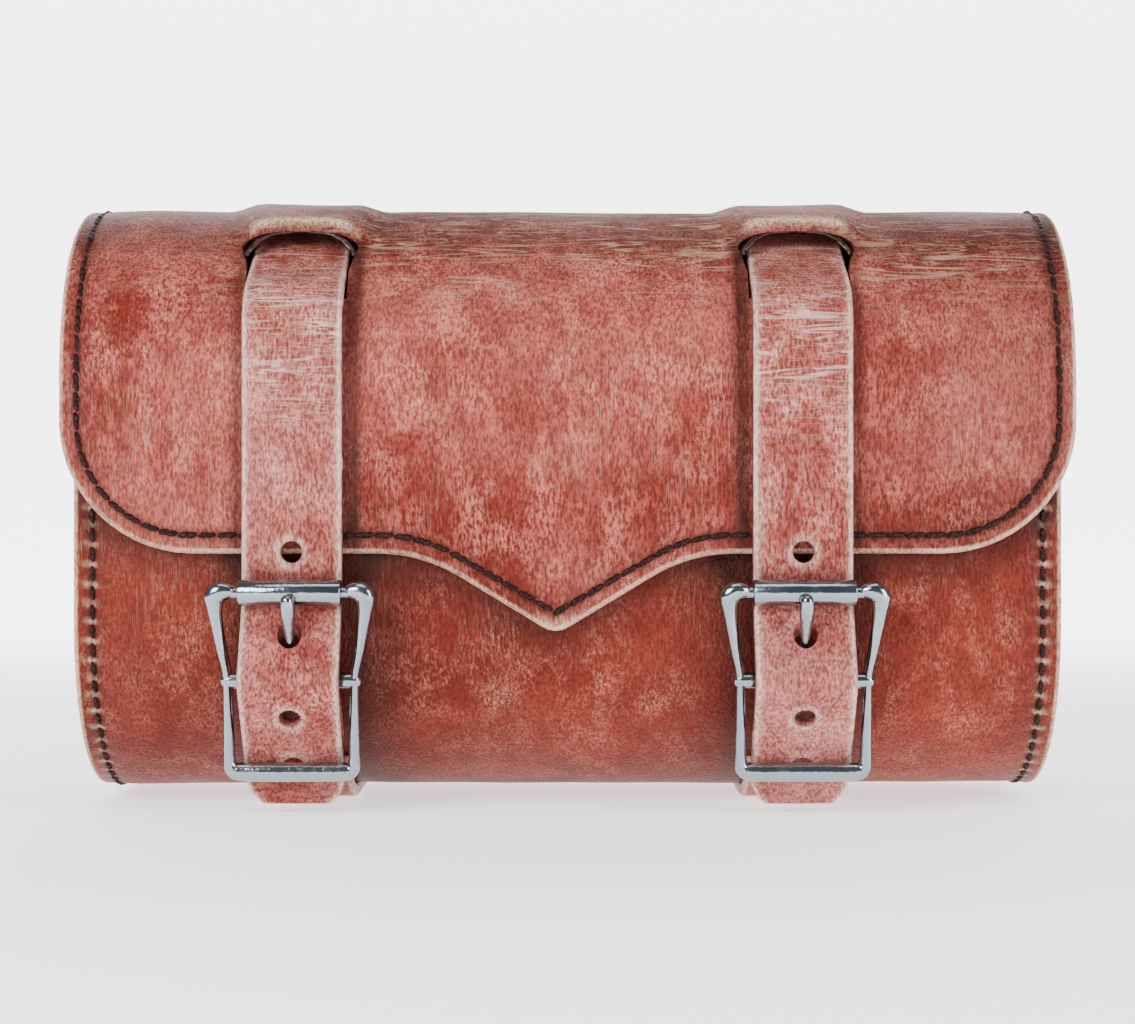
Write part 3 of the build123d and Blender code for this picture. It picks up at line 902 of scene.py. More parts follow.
@dataclass
class Lid:
    """The pointed flap: one leather skin with its lining, two arched slots and a seam."""

    half_width: float = 128.5 * MM
    edge_height: float = 66.4 * MM
    corner_radius: float = 34 * MM
    tip_x: float = -3.0 * MM
    tip_height: float = 45.9 * MM
    tip_half: float = 34 * MM
    slot_half: float = 15.0 * MM
    slot_top: float = 149.6 * MM
    slot_arch: float = 4.6 * MM
    slot_bottom: float = 131.0 * MM
    foot: float = 40 * MM

    def __post_init__(self) -> None:
        """Lays out the section line and the free edge."""
        z = SIZES
        corners = [(z.back, z.hinge + 0.2 * MM), (z.back, z.lid_top)]
        corners += [(z.lid_front, z.lid_top), (z.lid_front, self.foot)]
        self.track = Track(rounded(corners, [z.corner, z.lid_front_radius]))
        self.edge_line = self.outline(0.0)

    def outline(self, inset: float) -> np.ndarray:
        """The free edge, inset by a distance, as (x, length) points from left to right."""
        half, edge = self.half_width - inset, self.edge_height + inset
        tip = self.tip_height + inset * 1.22
        corners = [
            (-half, SIZES.lid_top), (-half, edge), (self.tip_x - self.tip_half, edge), (self.tip_x, tip),
            (self.tip_x + self.tip_half, edge), (half, edge), (half, SIZES.lid_top),
        ]
        corner = self.corner_radius - inset
        sharp = 6 * MM if inset < MM else 1.2 * MM
        line = rounded(corners, [corner, 40 * MM, sharp, 40 * MM, corner])
        line[:, 1] = self.track.length - (line[:, 1] - self.foot)
        line[0, 1] = line[-1, 1] = 0.0
        return line

    def edge_distance(self, x: np.ndarray, s: np.ndarray) -> np.ndarray:
        """Distance to the lid's free edge, over the leather."""
        points = np.stack([x.ravel(), s.ravel()], 1)
        a, b = self.edge_line[:-1], self.edge_line[1:]
        best = np.full(len(points), 1.0)
        for start, end in zip(a, b):
            run = end - start
            t = np.clip(((points - start) @ run) / max(run @ run, 1e-12), 0, 1)
            best = np.minimum(best, np.linalg.norm(points - start - t[:, None] * run, axis=1))
        return best.reshape(x.shape)

    def lift(self, x: np.ndarray, s: np.ndarray) -> np.ndarray:
        """How far the leather stands off its plain section: over the straps, and where it sags."""
        slot = self.slot_s()
        total = waves(x, s, 90 * MM, 3) * 0.45 * MM + waves(x, s, 34 * MM, 8) * 0.16 * MM
        total = total * rise(s, 0, 20 * MM)
        for side in Side:
            dx = x - SIZES.strap_x(side)
            over = bell(dx, 12.5 * MM, 9 * MM) * rise(s, 14 * MM, 50 * MM)
            over = over * (1 - rise(s, slot, slot + 7 * MM))
            lip = bell(dx, 9 * MM, 9 * MM) * hump(s - slot, 9 * MM)
            total = total + over * 2.3 * MM + lip * 1.5 * MM
        front = rise(s, slot + 12 * MM, slot + 45 * MM)
        total = total + 0.9 * MM * front * np.cos(np.clip(x / self.half_width, -1, 1) * math.pi / 2)
        near = self.edge_distance(x, s)
        total = total - 0.35 * MM * hump(near - SIZES.seam_inset, 1.3 * MM) * rise(s, 8 * MM, 16 * MM)
        return total - 0.4 * MM * hump(near, 3 * MM) * front

    def slot_s(self) -> float:
        """Length along the section at the slot's upper lip."""
        return self.track.front_at(self.slot_top)

    def rows_for(self, columns: np.ndarray) -> np.ndarray:
        """A row of lengths for each column, from the hinge to the free edge."""
        low = self.edge_line[:, 1]
        keep = slice(1, len(low) - 1)
        ends = np.interp(columns, self.edge_line[keep, 0], low[keep])
        rim = np.array(RIM)
        rows = []
        for end in ends:
            start = rim[rim < 6 * MM]
            main = np.linspace(7 * MM, end - 9 * MM, 128)
            rows.append(np.concatenate([start, main, end - rim[::-1]]))
        return np.array(rows)

    def columns(self) -> np.ndarray:
        """Places across the lid, closer at its rims and round its lower corners."""
        bend = self.half_width - self.corner_radius
        turn = bend + self.corner_radius * np.sin(np.linspace(0, math.pi / 2, 15))
        plain = spread(-self.half_width, self.half_width, 2.0 * MM, RIM)
        middle, rims = np.abs(plain) < bend, np.abs(plain) > self.half_width - 3 * MM
        columns = np.concatenate([plain[middle], turn, -turn, plain[rims]])
        columns = np.unique(np.round(columns, 6))
        keep = np.r_[True, np.diff(columns) > 0.1 * MM]
        keep[-1] = True
        return columns[keep]

    def slot_cutter(self, side: Side) -> bpy.types.Object:
        """An arched prism along Y through the slot."""
        centre, bottom = SIZES.strap_x(side), self.slot_bottom
        waist = [(13.9 * MM, 141.6 * MM), (13.1 * MM, 138.5 * MM), (12.95 * MM, bottom)]
        right = [(centre + w, z) for w, z in waist]
        left = [(centre - w, z) for w, z in reversed(waist)]
        outline = self.arch(side) + right + left
        near, far = SIZES.lid_front - 12 * MM, SIZES.lid_front + 33 * MM
        points = [(x, near, z) for x, z in outline] + [(x, far, z) for x, z in outline]
        return new_mesh("slot_cutter", np.array(points), ring_faces(2, len(outline), False, True))

    def arch(self, side: Side, grow: float = 0.0) -> list[tuple[float, float]]:
        """The slot's upper lip as (x, z) points from left to right.

        Args:
            side: which slot.
            grow: how far outside the cut the line runs; less than zero is inside it.

        Returns:
            The points.
        """
        centre = SIZES.strap_x(side)
        points = []
        for turn in np.linspace(-1, 1, 25):
            across = math.sin(turn * math.pi / 2)
            drop = 1 - math.sqrt(max(0.0, 1 - abs(across) ** 2.6))
            x = centre + across * (self.slot_half + grow)
            points.append((x, self.slot_top + grow - drop * self.slot_arch))
        return points

    def build(self, leather: bpy.types.Material, edge: bpy.types.Material, stitcher: Stitcher) -> None:
        """Makes the skin, the slot lips and the seam."""
        columns = self.columns()
        x, s = np.broadcast_arrays(columns[:, None], self.rows_for(columns))
        near = np.minimum(self.edge_distance(x, s), s)
        skin = Sheet("lid_skin", self.track, x, s, near, SIZES.lid_stack, self.lift, 1.7 * MM).build()
        cut(skin, [self.slot_cutter(side) for side in Side])
        self.mark(skin)
        declare(skin, "", "lid_leather", leather, "lid", "lid_lining")
        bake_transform(skin)
        for side in Side:
            self.lip(side, edge)
        self.seam(stitcher)

    def mark(self, skin: bpy.types.Object) -> None:
        """Paints the rim, the crease zone, the darker places, painted shade beside the straps below the
        slots, and the worn ones.
        """
        points = points_of(skin)
        s = self.track.nearest(points)
        x = points[:, 0]
        near = self.edge_distance(x, s)
        slot = self.slot_s()
        crease = rise(s, 20 * MM, 45 * MM) * (1 - rise(s, slot + 4 * MM, slot + 34 * MM))
        crease = crease * (0.75 + 0.35 * waves(x, s, 60 * MM, 21))
        crease = crease * (1 - 0.75 * (1 - rise(x, -118 * MM, -60 * MM)))
        stain = 0.10 + 0.42 * hump(near - SIZES.seam_inset, 1.5 * MM)
        stain = stain + 0.20 * hump(near, 13 * MM) + 0.20 * rise(x, 62 * MM, 100 * MM)
        stain = stain + 0.34 * rise(s, 20 * MM, 45 * MM) * (1 - rise(s, slot, slot + 16 * MM))
        worn = 0.75 * hump(x - self.tip_x, 5 * MM) * hump(near, 2.0 * MM) * rise(s, slot, slot + 60 * MM)
        for side in Side:
            dx = x - SIZES.strap_x(side)
            inner = -side.sign * dx
            # Painted shade: dark bands on the lid along both edges of each strap below its slot, wider on the
            # inner side.
            below = rise(s, slot + 2 * MM, slot + 8 * MM)
            stain = stain + below * hump(inner - 15.0 * MM, 2.3 * MM) * 0.95
            stain = stain + below * hump(inner + 14.4 * MM, 1.7 * MM) * 0.55
            level = np.sqrt(np.clip(1 - np.abs(dx / self.slot_half) ** 2.6, 0, 1))
            arch = slot + self.slot_arch * (1 - level)
            lip = hump(s - arch + 0.6 * MM, 1.5 * MM) * bell(dx, 11 * MM, 4 * MM)
            worn = worn + 0.85 * lip
            crease = crease * (1 - 0.35 * bell(dx, 13 * MM, 6 * MM))
        inner_face = self.is_inner(points, s)
        stain = np.where(inner_face, 0.55, stain)
        worn = np.where(inner_face, 0.0, worn)
        paint(skin, rim=1 - near / RIM_FADE, crease=np.where(inner_face, 0, crease), stain=stain, worn=worn)

    def is_inner(self, points: np.ndarray, s: np.ndarray) -> np.ndarray:
        """Whether each point is on the lining's side."""
        yz, normal = self.track.at(s)
        out = ((points[:, 1:] - yz) * normal).sum(1)
        return out < self.lift(points[:, 0], s) - SIZES.lid_stack * 0.8

    def lip(self, side: Side, edge: bpy.types.Material) -> None:
        """The slot's burnished cut edge, as a bead under its upper lip."""
        line = []
        for x, height in self.arch(side, -1.0 * MM):
            s = self.track.front_at(height)
            out = self.lift(np.array([x]), np.array([s]))[0] - 1.35 * MM
            line.append(self.track.place(np.array([x]), np.array([s]), np.array([out]))[0])
        line = np.array(line)
        sides, rings = 12, []
        tangent = np.gradient(line, axis=0)
        tangent /= np.linalg.norm(tangent, axis=1)[:, None]
        fades = np.sin(np.linspace(0.12, math.pi - 0.12, len(line))) ** 0.35
        for point, along, fade in zip(line, tangent, fades):
            up = np.cross(along, (0, -0.55, 0.83))
            up /= np.linalg.norm(up)
            other = np.cross(along, up)
            for angle in np.linspace(0, math.tau, sides, endpoint=False):
                ring = math.cos(angle) * up * 1.25 + math.sin(angle) * other * 0.80
                rings.append(point + ring * fade * MM)
        faces = ring_faces(len(line), sides, False, True)
        piece = new_mesh("slot_lip_" + side.value, np.array(rings), faces)
        declare(piece, "lid", "lid_leather", edge)

    def seam(self, stitcher: Stitcher) -> None:
        """The seam along the free edge, from near the hinge round the front and back again."""
        line = self.outline(SIZES.seam_inset)
        line[0, 1] = line[-1, 1] = 17 * MM
        dense = np.concatenate([np.linspace(a, b, 12, endpoint=False) for a, b in zip(line, line[1:])])
        out = self.lift(dense[:, 0], dense[:, 1]) + 0.15 * MM
        places = self.track.place(dense[:, 0], dense[:, 1], out)
        middles, along = evenly(places, SIZES.seam_pitch)
        _, normal = self.track.at(self.track.nearest(middles))
        outward = np.stack([np.zeros(len(normal)), normal[:, 0], normal[:, 1]], 1)
        piece = stitcher.sew("lid_stitches", middles, along, outward, 4.8 * MM, 1.8 * MM, 5)
        declare(piece, "lid", "thread", None, "lid_thread")


@dataclass
class Body:
    """The wrap of front, bottom and back, its two ends and their seams."""

    lid: Lid
    front_top: float = 107.8 * MM
    seam_x: float = 120.5 * MM

    def __post_init__(self) -> None:
        """Lays out the section line."""
        z = SIZES
        corners = [(z.front, self.front_top), (z.front, z.bottom), (z.back, z.bottom), (z.back, z.hinge)]
        self.track = Track(rounded(corners, [z.corner, z.corner]))
        self.half = z.wrap[1][0]

    def lift(self, x: np.ndarray, s: np.ndarray) -> np.ndarray:
        """Soft unevenness, with puckers at the end seams and a slack belly."""
        near = self.half - np.abs(x)
        total = waves(x, s, 110 * MM, 31) * 0.5 * MM + waves(x, s, 30 * MM, 32) * 0.12 * MM
        total = total * rise(s, 0, 14 * MM) * (1 - rise(s, self.track.length - 14 * MM, self.track.length))
        belly = 1.0 * MM * bell(s - 68 * MM, 10 * MM, 40 * MM)
        total = total + belly * np.cos(np.clip(x / self.half, -1, 1) * 1.5)
        seam = hump(near - (self.half - self.seam_x), 2.2 * MM)
        pucker = 0.5 - 0.5 * np.cos(s / SIZES.seam_pitch * math.tau)
        groove = seam * (0.22 + 0.38 * pucker) * rise(s, 2 * MM, 6 * MM)
        return total * rise(near, 0, 6 * MM) - groove * MM

    def build(self, leather: bpy.types.Material, stitcher: Stitcher) -> None:
        """Makes the wrap, the end panels and the end seams."""
        columns = spread(-self.half, self.half, 2.3 * MM, RIM)
        row = spread(0, self.track.length, 1.3 * MM, RIM[:6])
        x, s = np.broadcast_arrays(columns[:, None], row)
        near = np.minimum.reduce([self.half - np.abs(x), s, self.track.length - s])
        wrap = Sheet("wrap_skin", self.track, x, s, near, SIZES.leather, self.lift).build()
        self.mark(wrap)
        declare(wrap, "root", "body_leather", leather, "body_wrap")
        for side in Side:
            self.end_panel(side, leather)
            self.end_seam(side, stitcher)

    def mark(self, wrap: bpy.types.Object) -> None:
        """Paints the wrap's rims, painted shadow under the lid's free edge, darkening round and under the
        straps (painted shade, partly strap-contact darkening), darker seams and ends, and rubbed places.
        """
        points = points_of(wrap)
        s, x = self.track.nearest(points), points[:, 0]
        near = self.half - np.abs(x)
        edge = self.lid.edge_line[1:-1]
        lid_s = np.interp(x, edge[:, 0], edge[:, 1])
        edge_s = self.front_top - (self.lid.foot + self.lid.track.length - lid_s)
        # Painted shadow: a dark band on the wrap just under the lid's free edge, following its outline.
        under = hump(s - edge_s, 8 * MM) * 0.62 * (s < 90 * MM)
        stain = 0.10 + under + 0.5 * hump(near - 5 * MM, 1.6 * MM) + 0.25 * hump(near, 16 * MM)
        front = 1 - rise(s, 118 * MM, 132 * MM)
        shown = rise(s, 26 * MM, 58 * MM)
        # Darkening under and round each strap (painted shade, partly strap-contact darkening), and a painted
        # shade band beside its inner edge.
        for side in Side:
            dx = x - SIZES.strap_x(side)
            stain = stain + front * shown * 0.60 * bell(dx, 14 * MM, 9 * MM)
            stain = stain + front * shown * 0.45 * hump(-side.sign * dx - 22 * MM, 9 * MM)
        pucker = 0.5 + 0.5 * np.cos(s / SIZES.seam_pitch * math.tau)
        worn = 0.55 * hump(near - 4.6 * MM, 1.5 * MM) * pucker**6
        paint(wrap, rim=1 - near / RIM_FADE, crease=0 * x, stain=stain, worn=worn)

    def end_panel(self, side: Side, leather: bpy.types.Material) -> None:
        """A dished end: a softly bulging floor and a flange that turns outward."""
        low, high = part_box("end_panel_" + side.value)
        corners = [(0.0, low[2]), (low[1], low[2]), (low[1], high[2])]
        corners += [(high[1], high[2]), (high[1], low[2]), (0.0, low[2])]
        outline = rounded(corners, [41.6 * MM, 45 * MM, 42 * MM, 41.6 * MM])
        ring = evenly(np.stack([np.zeros(len(outline)), outline[:, 0], outline[:, 1]], 1), 2.2 * MM)[0][:, 1:]
        middle = np.array([(low[1] + high[1]) / 2, (low[2] + high[2]) / 2])
        inner_x, outer_x = (low[0], high[0]) if side is Side.RIGHT else (high[0], low[0])
        floor_x = inner_x + side.sign * 3.0 * MM
        steps = [(0.0, inner_x), (0.1, outer_x - side.sign * 0.8 * MM), (0.5, outer_x), (1.9, outer_x),
                 (2.5, outer_x - side.sign * 0.7 * MM), (2.8, floor_x + side.sign * 1.6 * MM), (4.6, floor_x)]
        rings, count = [], len(ring)
        for inset, x in steps:
            away = ring - middle
            reach = np.linalg.norm(away, axis=1)
            rings.append(np.c_[np.full(count, x), middle + away * ((reach - inset * MM) / reach)[:, None]])
        for share in np.linspace(0.9, 0.0, 14):
            bulge = floor_x + side.sign * 1.6 * MM * (1 - share**2) ** 1.5
            rings.append(np.c_[np.full(count, bulge), middle + (ring - middle) * share])
        rings.append(np.c_[np.full(count, inner_x), np.broadcast_to(middle, (count, 2))])
        faces = ring_faces(len(rings), count, True)
        panel = new_mesh("end_skin_" + side.value, np.concatenate(rings), faces)
        points = points_of(panel)
        lip = np.abs(points[:, 0] - outer_x) < 1.2 * MM
        deep = np.abs(points[:, 0] - floor_x) < 0.6 * MM
        paint(panel, rim=lip * 0.93, crease=0 * points[:, 0], stain=0.12 + 0.35 * deep, worn=0.12 * lip)
        declare(panel, "root", "body_leather", leather, "end_panel_" + side.value)

    def end_seam(self, side: Side, stitcher: Stitcher) -> None:
        """Separate stitches through the wrap and the end's flange."""
        count = int((self.track.length - 14 * MM) / SIZES.seam_pitch)
        s = (np.arange(count) + 1.5) * SIZES.seam_pitch
        x = np.full(count, side.sign * self.seam_x)
        places = self.track.place(x, s, self.lift(x, s) + 0.25 * MM)
        _, normal = self.track.at(s)
        along = np.stack([np.zeros(count), -normal[:, 1], normal[:, 0]], 1)
        outward = np.stack([np.zeros(count), normal[:, 0], normal[:, 1]], 1)
        name = "end_stitches_" + side.value
        piece = stitcher.sew(name, places, along, outward, 3.9 * MM, 1.6 * MM, 11 + side.sign)
        declare(piece, "root", "thread", None, "end_thread_" + side.value)


@dataclass
class Buckle:
    """A roller buckle with a keeper bar, in its own frame on the centre bar."""

    side: Side
    reach: float = 22.2 * MM
    roller_radius: float = 3.25 * MM
    roller_length: float = 25.6 * MM

    def matrix(self) -> Matrix:
        """From the buckle's own frame to the bag's."""
        return Matrix.Translation(SIZES.bar(self.side)) @ Matrix.Rotation(BUCKLE_TILT, 4, "X")

    def frame_bar(self) -> bpy.types.Object:
        """The frame's outline: shoulders, waist and keeper bar."""
        right = [
            (14.2, 22.2, 1.5, 1.5), (15.6, 22.5, 2.2, 2.0), (17.4, 22.3, 2.75, 2.3),
            (18.7, 20.9, 2.7, 2.3), (18.75, 18.2, 2.0, 2.0), (18.2, 14.0, 1.6, 1.85),
            (17.2, 8.0, 1.35, 1.75), (16.1, 3.0, 1.25, 1.75), (15.75, -0.5, 1.3, 1.8),
            (15.7, -8.0, 1.35, 1.8), (15.7, -16.0, 1.4, 1.8), (15.6, -20.3, 1.55, 1.9),
            (14.9, -22.6, 2.0, 2.0), (12.8, -23.3, 2.35, 2.1), (6.0, -23.4, 2.5, 2.2),
        ]
        left = [(-x, z, a, b) for x, z, a, b in reversed(right)]
        line = right + left
        centres = [(x * MM, 0.0, z * MM) for x, z, _, _ in line]
        wide, deep = ([row[k] * MM for row in line] for k in (2, 3))
        return tube("buckle_outline", centres, wide, deep, 20)

    def cross_bar(self, height: float, half: float, radius: float) -> bpy.types.Object:
        """A straight bar between the frame's sides."""
        centres = [(x * MM, 0.0, height) for x in (-half, -half / 3, half / 3, half)]
        return tube("cross_bar", centres, [radius] * 4, [radius] * 4, 14)

    def tongue(self) -> bpy.types.Object:
        """A pin with an eye round the centre bar and a rounded tip on the roller."""
        bends = [
            (-0.9, 2.6, 1.2), (-1.1, 6.0, 1.35), (-1.9, 10.2, 1.4),
            (-3.7, 14.6, 1.55), (-5.15, 18.6, 1.85), (-5.35, 20.9, 1.75),
        ]
        centres = [(0.0, y * MM, z * MM) for y, z, _ in bends]
        radii = [r * MM for _, _, r in bends]
        pin = tube("tongue_pin", centres, radii, radii, 16)
        profile = [(2.3, -1.5), (3.9, -1.7), (4.2, -1.2), (4.2, 1.2), (3.9, 1.7), (2.3, 1.5)]
        eye = turned("tongue_eye", [(r * MM, h * MM) for r, h in profile])
        move(eye, Matrix.Rotation(math.pi / 2, 4, "Y"))
        return join("buckle_pin_" + self.side.value, [pin, eye])

    def roller(self) -> bpy.types.Object:
        """A tube with softly broken ends."""
        half, r = self.roller_length / 2, self.roller_radius
        soft, bore = 0.35 * MM, 1.8 * MM
        profile = [
            (bore, -half), (r - soft, -half), (r - 0.1 * MM, -half + 0.12 * MM), (r, -half + soft),
            (r, half - soft), (r - 0.1 * MM, half - 0.12 * MM), (r - soft, half), (bore, half),
        ]
        piece = turned("buckle_tube_" + self.side.value, profile, 48)
        return move(piece, Matrix.Translation((0, 0, self.reach)) @ Matrix.Rotation(math.pi / 2, 4, "Y"))

    def build(self, steel: bpy.types.Material) -> None:
        """Makes the three metal pieces."""
        name = self.side.value
        centre_bar = self.cross_bar(0.0, 15.7, 2.0 * MM)
        top_bar = self.cross_bar(self.reach, 15.0, 1.5 * MM)
        outline = join("buckle_body_" + name, [self.frame_bar(), centre_bar, top_bar])
        sharpen(self.finish(outline))
        declare(outline, "lid", "steel", steel, "buckle_frame_" + name)
        roller = self.finish(self.roller())
        sharpen(roller)
        declare(roller, "roller_" + name, "steel", steel, "buckle_roller_" + name)
        declare(self.finish(self.tongue()), "tongue_" + name, "steel", steel, "buckle_tongue_" + name)

    def finish(self, piece: bpy.types.Object) -> bpy.types.Object:
        """Puts a piece where the buckle is."""
        return move(piece, self.matrix())


@dataclass
class Strap:
    """A strap from under the lid, out of its slot and through its buckle, with punched holes."""

    side: Side
    holes: tuple = (67.0, 26.5, 14.0)
    hole_radius: float = 2.75 * MM

    def __post_init__(self) -> None:
        """Lays out the strap's middle line."""
        z, half = SIZES, SIZES.strap_thick / 2
        inner = z.lid_stack + 1.0 * MM + half
        top = z.lid_top - inner
        line = z.lid_front - z.standoff - half
        bar = z.bar(self.side)
        wrap = 4.55 * MM + 0.35 * MM + half
        front = bar.y - wrap / math.cos(math.radians(29))
        keeper_y = bar.y + 23 * MM * math.sin(BUCKLE_TILT) + (2.4 + 0.35 + 1.2) * MM + half
        keeper_z = bar.z - 23 * MM * math.cos(BUCKLE_TILT)
        corners = [
            (z.back - inner, z.hinge + 0.55 * MM), (z.back - inner, top), (z.lid_front + 36 * MM, top),
            (line, 130.4 * MM), (line, 54.9 * MM), (front, bar.z - 0.4 * MM), (keeper_y, keeper_z),
            (keeper_y + 6 * MM, half + 1.3 * MM),
        ]
        radii = [z.corner - inner, 30 * MM, 12 * MM, 10 * MM, wrap, 16 * MM]
        self.track = Track(rounded(corners, radii))
        self.x = z.strap_x(self.side)

    def s_at(self, height: float) -> float:
        """Length along the strap where its front run is at a height."""
        return self.track.front_at(height, 0.45)

    def half_width(self, s: np.ndarray) -> np.ndarray:
        """Half the width along the strap, which narrows at its tail."""
        end = self.track.length
        left = np.clip((s - (end - 9 * MM)) / (9 * MM), 0, 1)
        return SIZES.strap_width / 2 * (1 - 0.32 * left**2.2)

    def lift(self, x: np.ndarray, s: np.ndarray) -> np.ndarray:
        """The strap's outer face off its middle line: slightly crowned and uneven."""
        across = (x - self.x) / (SIZES.strap_width / 2)
        crown = 0.22 * MM * (1 - np.clip(across, -1, 1) ** 2)
        uneven = 0.10 * MM * waves(x, s, 26 * MM, 40 + self.side.sign)
        return SIZES.strap_thick / 2 - 0.15 * MM + crown + uneven

    def drill(self, height: float, radius: float) -> bpy.types.Object:
        """A cutter across the strap at a height, long enough to leave the strap on both sides."""
        yz, normal = self.track.at(np.array([self.s_at(height)]))
        profile = [(0.0, -4 * MM), (radius, -4 * MM), (radius, 4 * MM), (0.0, 4 * MM)]
        turn = Vector((0, *normal[0])).to_track_quat("Z", "X").to_matrix().to_4x4()
        return move(turned("drill", profile, 28), Matrix.Translation((self.x, *yz[0])) @ turn)

    def tongue_slot(self) -> bpy.types.Object:
        """The worn, slanted hole that the tongue goes through."""
        bends = [(-1.0, 3.2), (-1.2, 9.5), (-5.05, 19.5), (-5.05, 24.2)]
        centres = [(0.0, y * MM, z * MM) for y, z in bends]
        radii = [TONGUE_HOLE] * len(bends)
        bar = SIZES.bar(self.side)
        place = Matrix.Translation((self.x, bar.y, bar.z)) @ Matrix.Rotation(BUCKLE_TILT, 4, "X")
        return move(tube("tongue_slot", centres, radii, radii, 20), place)

    def build(self, leather: bpy.types.Material) -> None:
        """Makes the strap with its holes."""
        end = self.track.length
        row = spread(0, end, 1.05 * MM, RIM[:5])
        share, s = np.broadcast_arrays(spread(-1.0, 1.0, 0.075, (0.0, 0.02, 0.06, 0.12))[:, None], row)
        half = self.half_width(s)
        near = np.minimum.reduce([(1 - np.abs(share)) * half, s, end - s])
        name = "strap_skin_" + self.side.value
        x, thickness = self.x + share * half, SIZES.strap_thick - 0.2 * MM
        strap = Sheet(name, self.track, x, s, near, thickness, self.lift, 1.1 * MM, 2.4).build()
        cutters = [self.drill(h * MM, self.hole_radius) for h in self.holes]
        cut(strap, cutters + [self.tongue_slot()])
        self.mark(strap)
        declare(strap, "lid", "strap_leather", leather, "strap_" + self.side.value)

    def mark(self, strap: bpy.types.Object) -> None:
        """Paints the strap's rims, the crease zone near the slot, the rings round the holes and a painted
        shade band where the buckle's roller lies.
        """
        points = points_of(strap)
        s = self.track.nearest(points)
        x = points[:, 0] - self.x
        near = self.half_width(s) - np.abs(x)
        slot = self.s_at(138 * MM)
        crease = rise(s, slot - 26 * MM, slot - 4 * MM) * (1 - rise(s, slot + 26 * MM, slot + 62 * MM))
        yz, normal = self.track.at(s)
        out = ((points[:, 1:] - yz) * normal).sum(1)
        side_face = near < 0.45 * MM
        rings = np.zeros(len(points))
        for height in self.holes:
            away = np.hypot(x, s - self.s_at(height * MM))
            rings = np.maximum(rings, hump(away - 3.5 * MM, 0.8 * MM))
        dark = np.where(side_face, 0.85, 0.05) + np.where(out < -0.9 * MM, 0.6, 0)
        # Painted shade: a dark band across the strap where the buckle's roller lies on it.
        dark = dark + 0.5 * hump(s - self.s_at(60.5 * MM), 2.6 * MM)
        tail = rise(s, self.s_at(30 * MM), self.track.length)
        light = 0.30 * hump(near - 1.0 * MM, 0.8 * MM) * (out > 0)
        outside = out > 0
        paint(
            strap, rim=(1 - near / RIM_FADE) * outside, crease=crease * 0.8 * outside,
            stain=dark + 0.18 * tail, worn=0.42 * rings * (out > 0.4 * MM) + light,
        )


@dataclass
class RearStrap:
    """The lower strap on the back and under the bag, with its two rivets."""

    side: Side
    top: float = 95.8 * MM
    rivet_height: float = 87.9 * MM

    def build(self, leather: bpy.types.Material, steel: bpy.types.Material) -> None:
        """Makes the strap and the rivet caps."""
        z, half = SIZES, SIZES.strap_thick / 2
        out = 0.075 * MM + half
        radius = z.corner + out
        angle = math.radians(51)
        centre = (z.front + z.corner, z.bottom + z.corner)
        start = (centre[0] - radius * math.cos(angle), centre[1] - radius * math.sin(angle))
        reach = radius * math.tan((math.pi / 2 - angle) / 2)
        corners = [
            (start[0] - MM * math.sin(angle), start[1] + MM * math.cos(angle)),
            (start[0] + reach * math.sin(angle), z.bottom - out),
            (z.back + out, z.bottom - out), (z.back + out, self.top),
        ]
        track = Track(rounded(corners, [radius, radius]))
        x0, w = z.strap_x(self.side), z.strap_width / 2
        columns = spread(x0 - w, x0 + w, 1.4 * MM, RIM[:5])
        row = spread(0, track.length, 1.6 * MM, RIM[:5])
        x, s = np.broadcast_arrays(columns[:, None], row)
        near = np.minimum.reduce([w - np.abs(x - x0), s, track.length - s])
        name = "lower_strap_" + self.side.value
        strap = Sheet(name, track, x, s, near, z.strap_thick, lambda x, s: half + 0 * x, 1.0 * MM).build()
        points = points_of(strap)
        near = w - np.abs(points[:, 0] - x0)
        stain = 0.25 + 0.5 * (near < 0.4 * MM)
        paint(strap, rim=1 - near / RIM_FADE, crease=0 * near, stain=stain, worn=0 * near)
        declare(strap, "root", "strap_leather", leather, "strap_rear_" + self.side.value)
        self.rivets(steel)

    def rivets(self, steel: bpy.types.Material) -> None:
        """Domed caps outside and inside, joined by their shanks."""
        low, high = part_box("rear_rivets_" + self.side.value)
        caps = []
        profile = [(0.0, 1.0), (1.2, 0.95), (2.3, 0.72), (3.0, 0.35)]
        profile += [(3.2, 0.0), (1.2, 0.0), (1.2, -3.9), (0.0, -3.9)]
        for dx in (-6.5 * MM, 6.5 * MM):
            for depth, turn in ((high[1] - 0.8 * MM, -1), (low[1] + 0.8 * MM, 1)):
                cap = turned("cap", [(r * MM, h * MM * (0.8 if h > 0 else 1)) for r, h in profile], 32)
                matrix = Matrix.Translation((SIZES.strap_x(self.side) + dx, depth, self.rivet_height))
                caps.append(move(cap, matrix @ Matrix.Rotation(turn * math.pi / 2, 4, "X")))
        piece = join("rivet_caps_" + self.side.value, caps)
        sharpen(piece)
        declare(piece, "root", "rivet", steel, "rear_rivets_" + self.side.value)


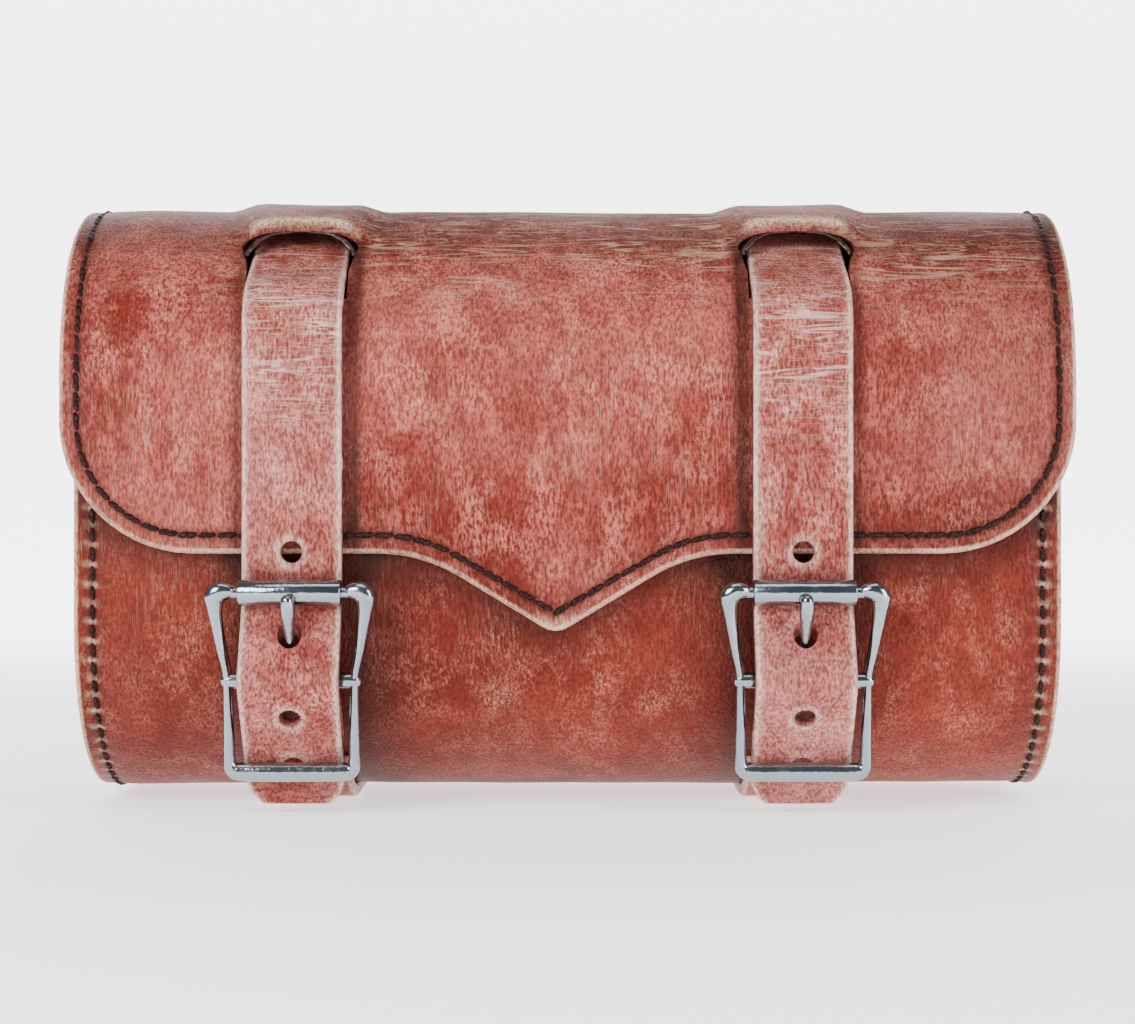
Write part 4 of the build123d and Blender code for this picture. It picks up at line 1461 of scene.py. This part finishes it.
class Studio:
    """Pale glowing floor and backdrop, soft lights and the camera."""

    distance: float = 0.600
    view_width: float = 0.2855
    height: float = 0.0769

    def build(self) -> None:
        """Makes everything that isn't the object."""
        self.sweep()
        self.camera()
        self.light("key", (-0.60, -0.85, 0.52), (0.55, 0.45), 12.0)
        self.light("fill", (0.85, -0.60, 0.30), (0.35, 0.60), 7.0)
        self.light("top", (0.05, -0.35, 0.90), (0.8, 0.3), 2.0)
        world = bpy.data.worlds.new("studio_air")
        bpy.context.scene.world = world
        world.use_nodes = True
        colour, strength = world.node_tree.nodes["Background"].inputs[:2]
        colour.default_value = rgb(0.92, 0.95, 1.0)
        strength.default_value = 0.20

    def sweep(self) -> None:
        """A floor that curves up into a backdrop."""
        profile = rounded([(-4.0, 0.0), (1.5, 0.0), (1.5, 2.2)], [0.7])
        front = np.stack([np.linspace(profile[0][0], profile[1][0], 30), np.zeros(30)], 1)[:-1]
        profile = np.concatenate([front, profile[1:]])
        points = [(x, y, z) for y, z in profile for x in (-4.0, 4.0)]
        faces = [(2 * i, 2 * i + 1, 2 * i + 3, 2 * i + 2) for i in range(len(profile) - 1)]
        floor = new_mesh("studio_floor", np.array(points), faces)
        floor.data.materials.append(StudioFinish().build())
        paint(floor, glow=rise(points_of(floor)[:, 1], 0.25, 0.95))

    def light(self, name: str, place: Point, size: tuple[float, float], power: float) -> None:
        """A soft rectangular light aimed at the bag."""
        data = bpy.data.lights.new(name, "AREA")
        data.shape = "RECTANGLE"
        data.size, data.size_y = size
        data.energy = power
        lamp = bpy.data.objects.new(name, data)
        lamp.location = place
        lamp.rotation_euler = (Vector((0, 0, 0.07)) - Vector(place)).to_track_quat("-Z", "Y").to_euler()
        bpy.context.scene.collection.objects.link(lamp)

    def camera(self) -> None:
        """A level camera square on to the front."""
        data = bpy.data.cameras.new("camera")
        data.sensor_fit = "HORIZONTAL"
        data.lens = data.sensor_width * self.distance / self.view_width
        data.clip_start = 0.01
        camera = bpy.data.objects.new("camera", data)
        camera.location = (0.0, SIZES.lid_front - self.distance, self.height)
        camera.rotation_euler = (math.pi / 2, 0, 0)
        bpy.context.scene.collection.objects.link(camera)
        bpy.context.scene.camera = camera


class TailBag:
    """The whole bag."""

    def build(self) -> None:
        """Makes the finishes, then each sub-assembly in order."""
        leather = LeatherFinish("lid_leather").build()
        body = LeatherFinish(
            "body_leather", base=rgb(0.165, 0.009, 0.003), rubbed=rgb(0.42, 0.055, 0.032),
            rubbing=0.60, fleck=0.45, contrast=0.50, roughness=0.36,
        ).build()
        strap = LeatherFinish(
            "strap_leather", base=rgb(0.36, 0.050, 0.034), rubbed=rgb(0.74, 0.27, 0.235),
            warm=rgb(0.32, 0.050, 0.026), deep=rgb(0.040, 0.003, 0.0015), pale=rgb(0.93, 0.64, 0.54),
            rubbing=0.70, contrast=0.70,
        ).build()
        edge, thread = EdgeFinish().build(), ThreadFinish().build()
        steel = PlatedFinish("nickel_plate").build()
        rivet = PlatedFinish("rivet_plate", roughness=0.22).build()
        stitcher = Stitcher(thread)
        lid = Lid()
        lid.build(leather, edge, stitcher)
        Body(lid).build(body, stitcher)
        for side in Side:
            Strap(side).build(strap)
            RearStrap(side).build(strap, rivet)
            Buckle(side).build(steel)
            self.dress_node("chape_" + side.value, strap)
            self.dress_node("chape_rivets_" + side.value, rivet)

    @staticmethod
    def dress_node(node: str, material: bpy.types.Material) -> None:
        """Gives a CAD node its finish."""
        slots = frame["nodes"][node].material_slots
        for slot in slots:
            slot.material = material
        if not slots:
            frame["nodes"][node].data.materials.append(material)


def main() -> None:
    """Builds the bag and the studio."""
    logging.basicConfig(level=logging.INFO, format="%(message)s")
    TailBag().build()
    Studio().build()
    bpy.context.view_layer.update()


if __name__ == "__main__":
    main()
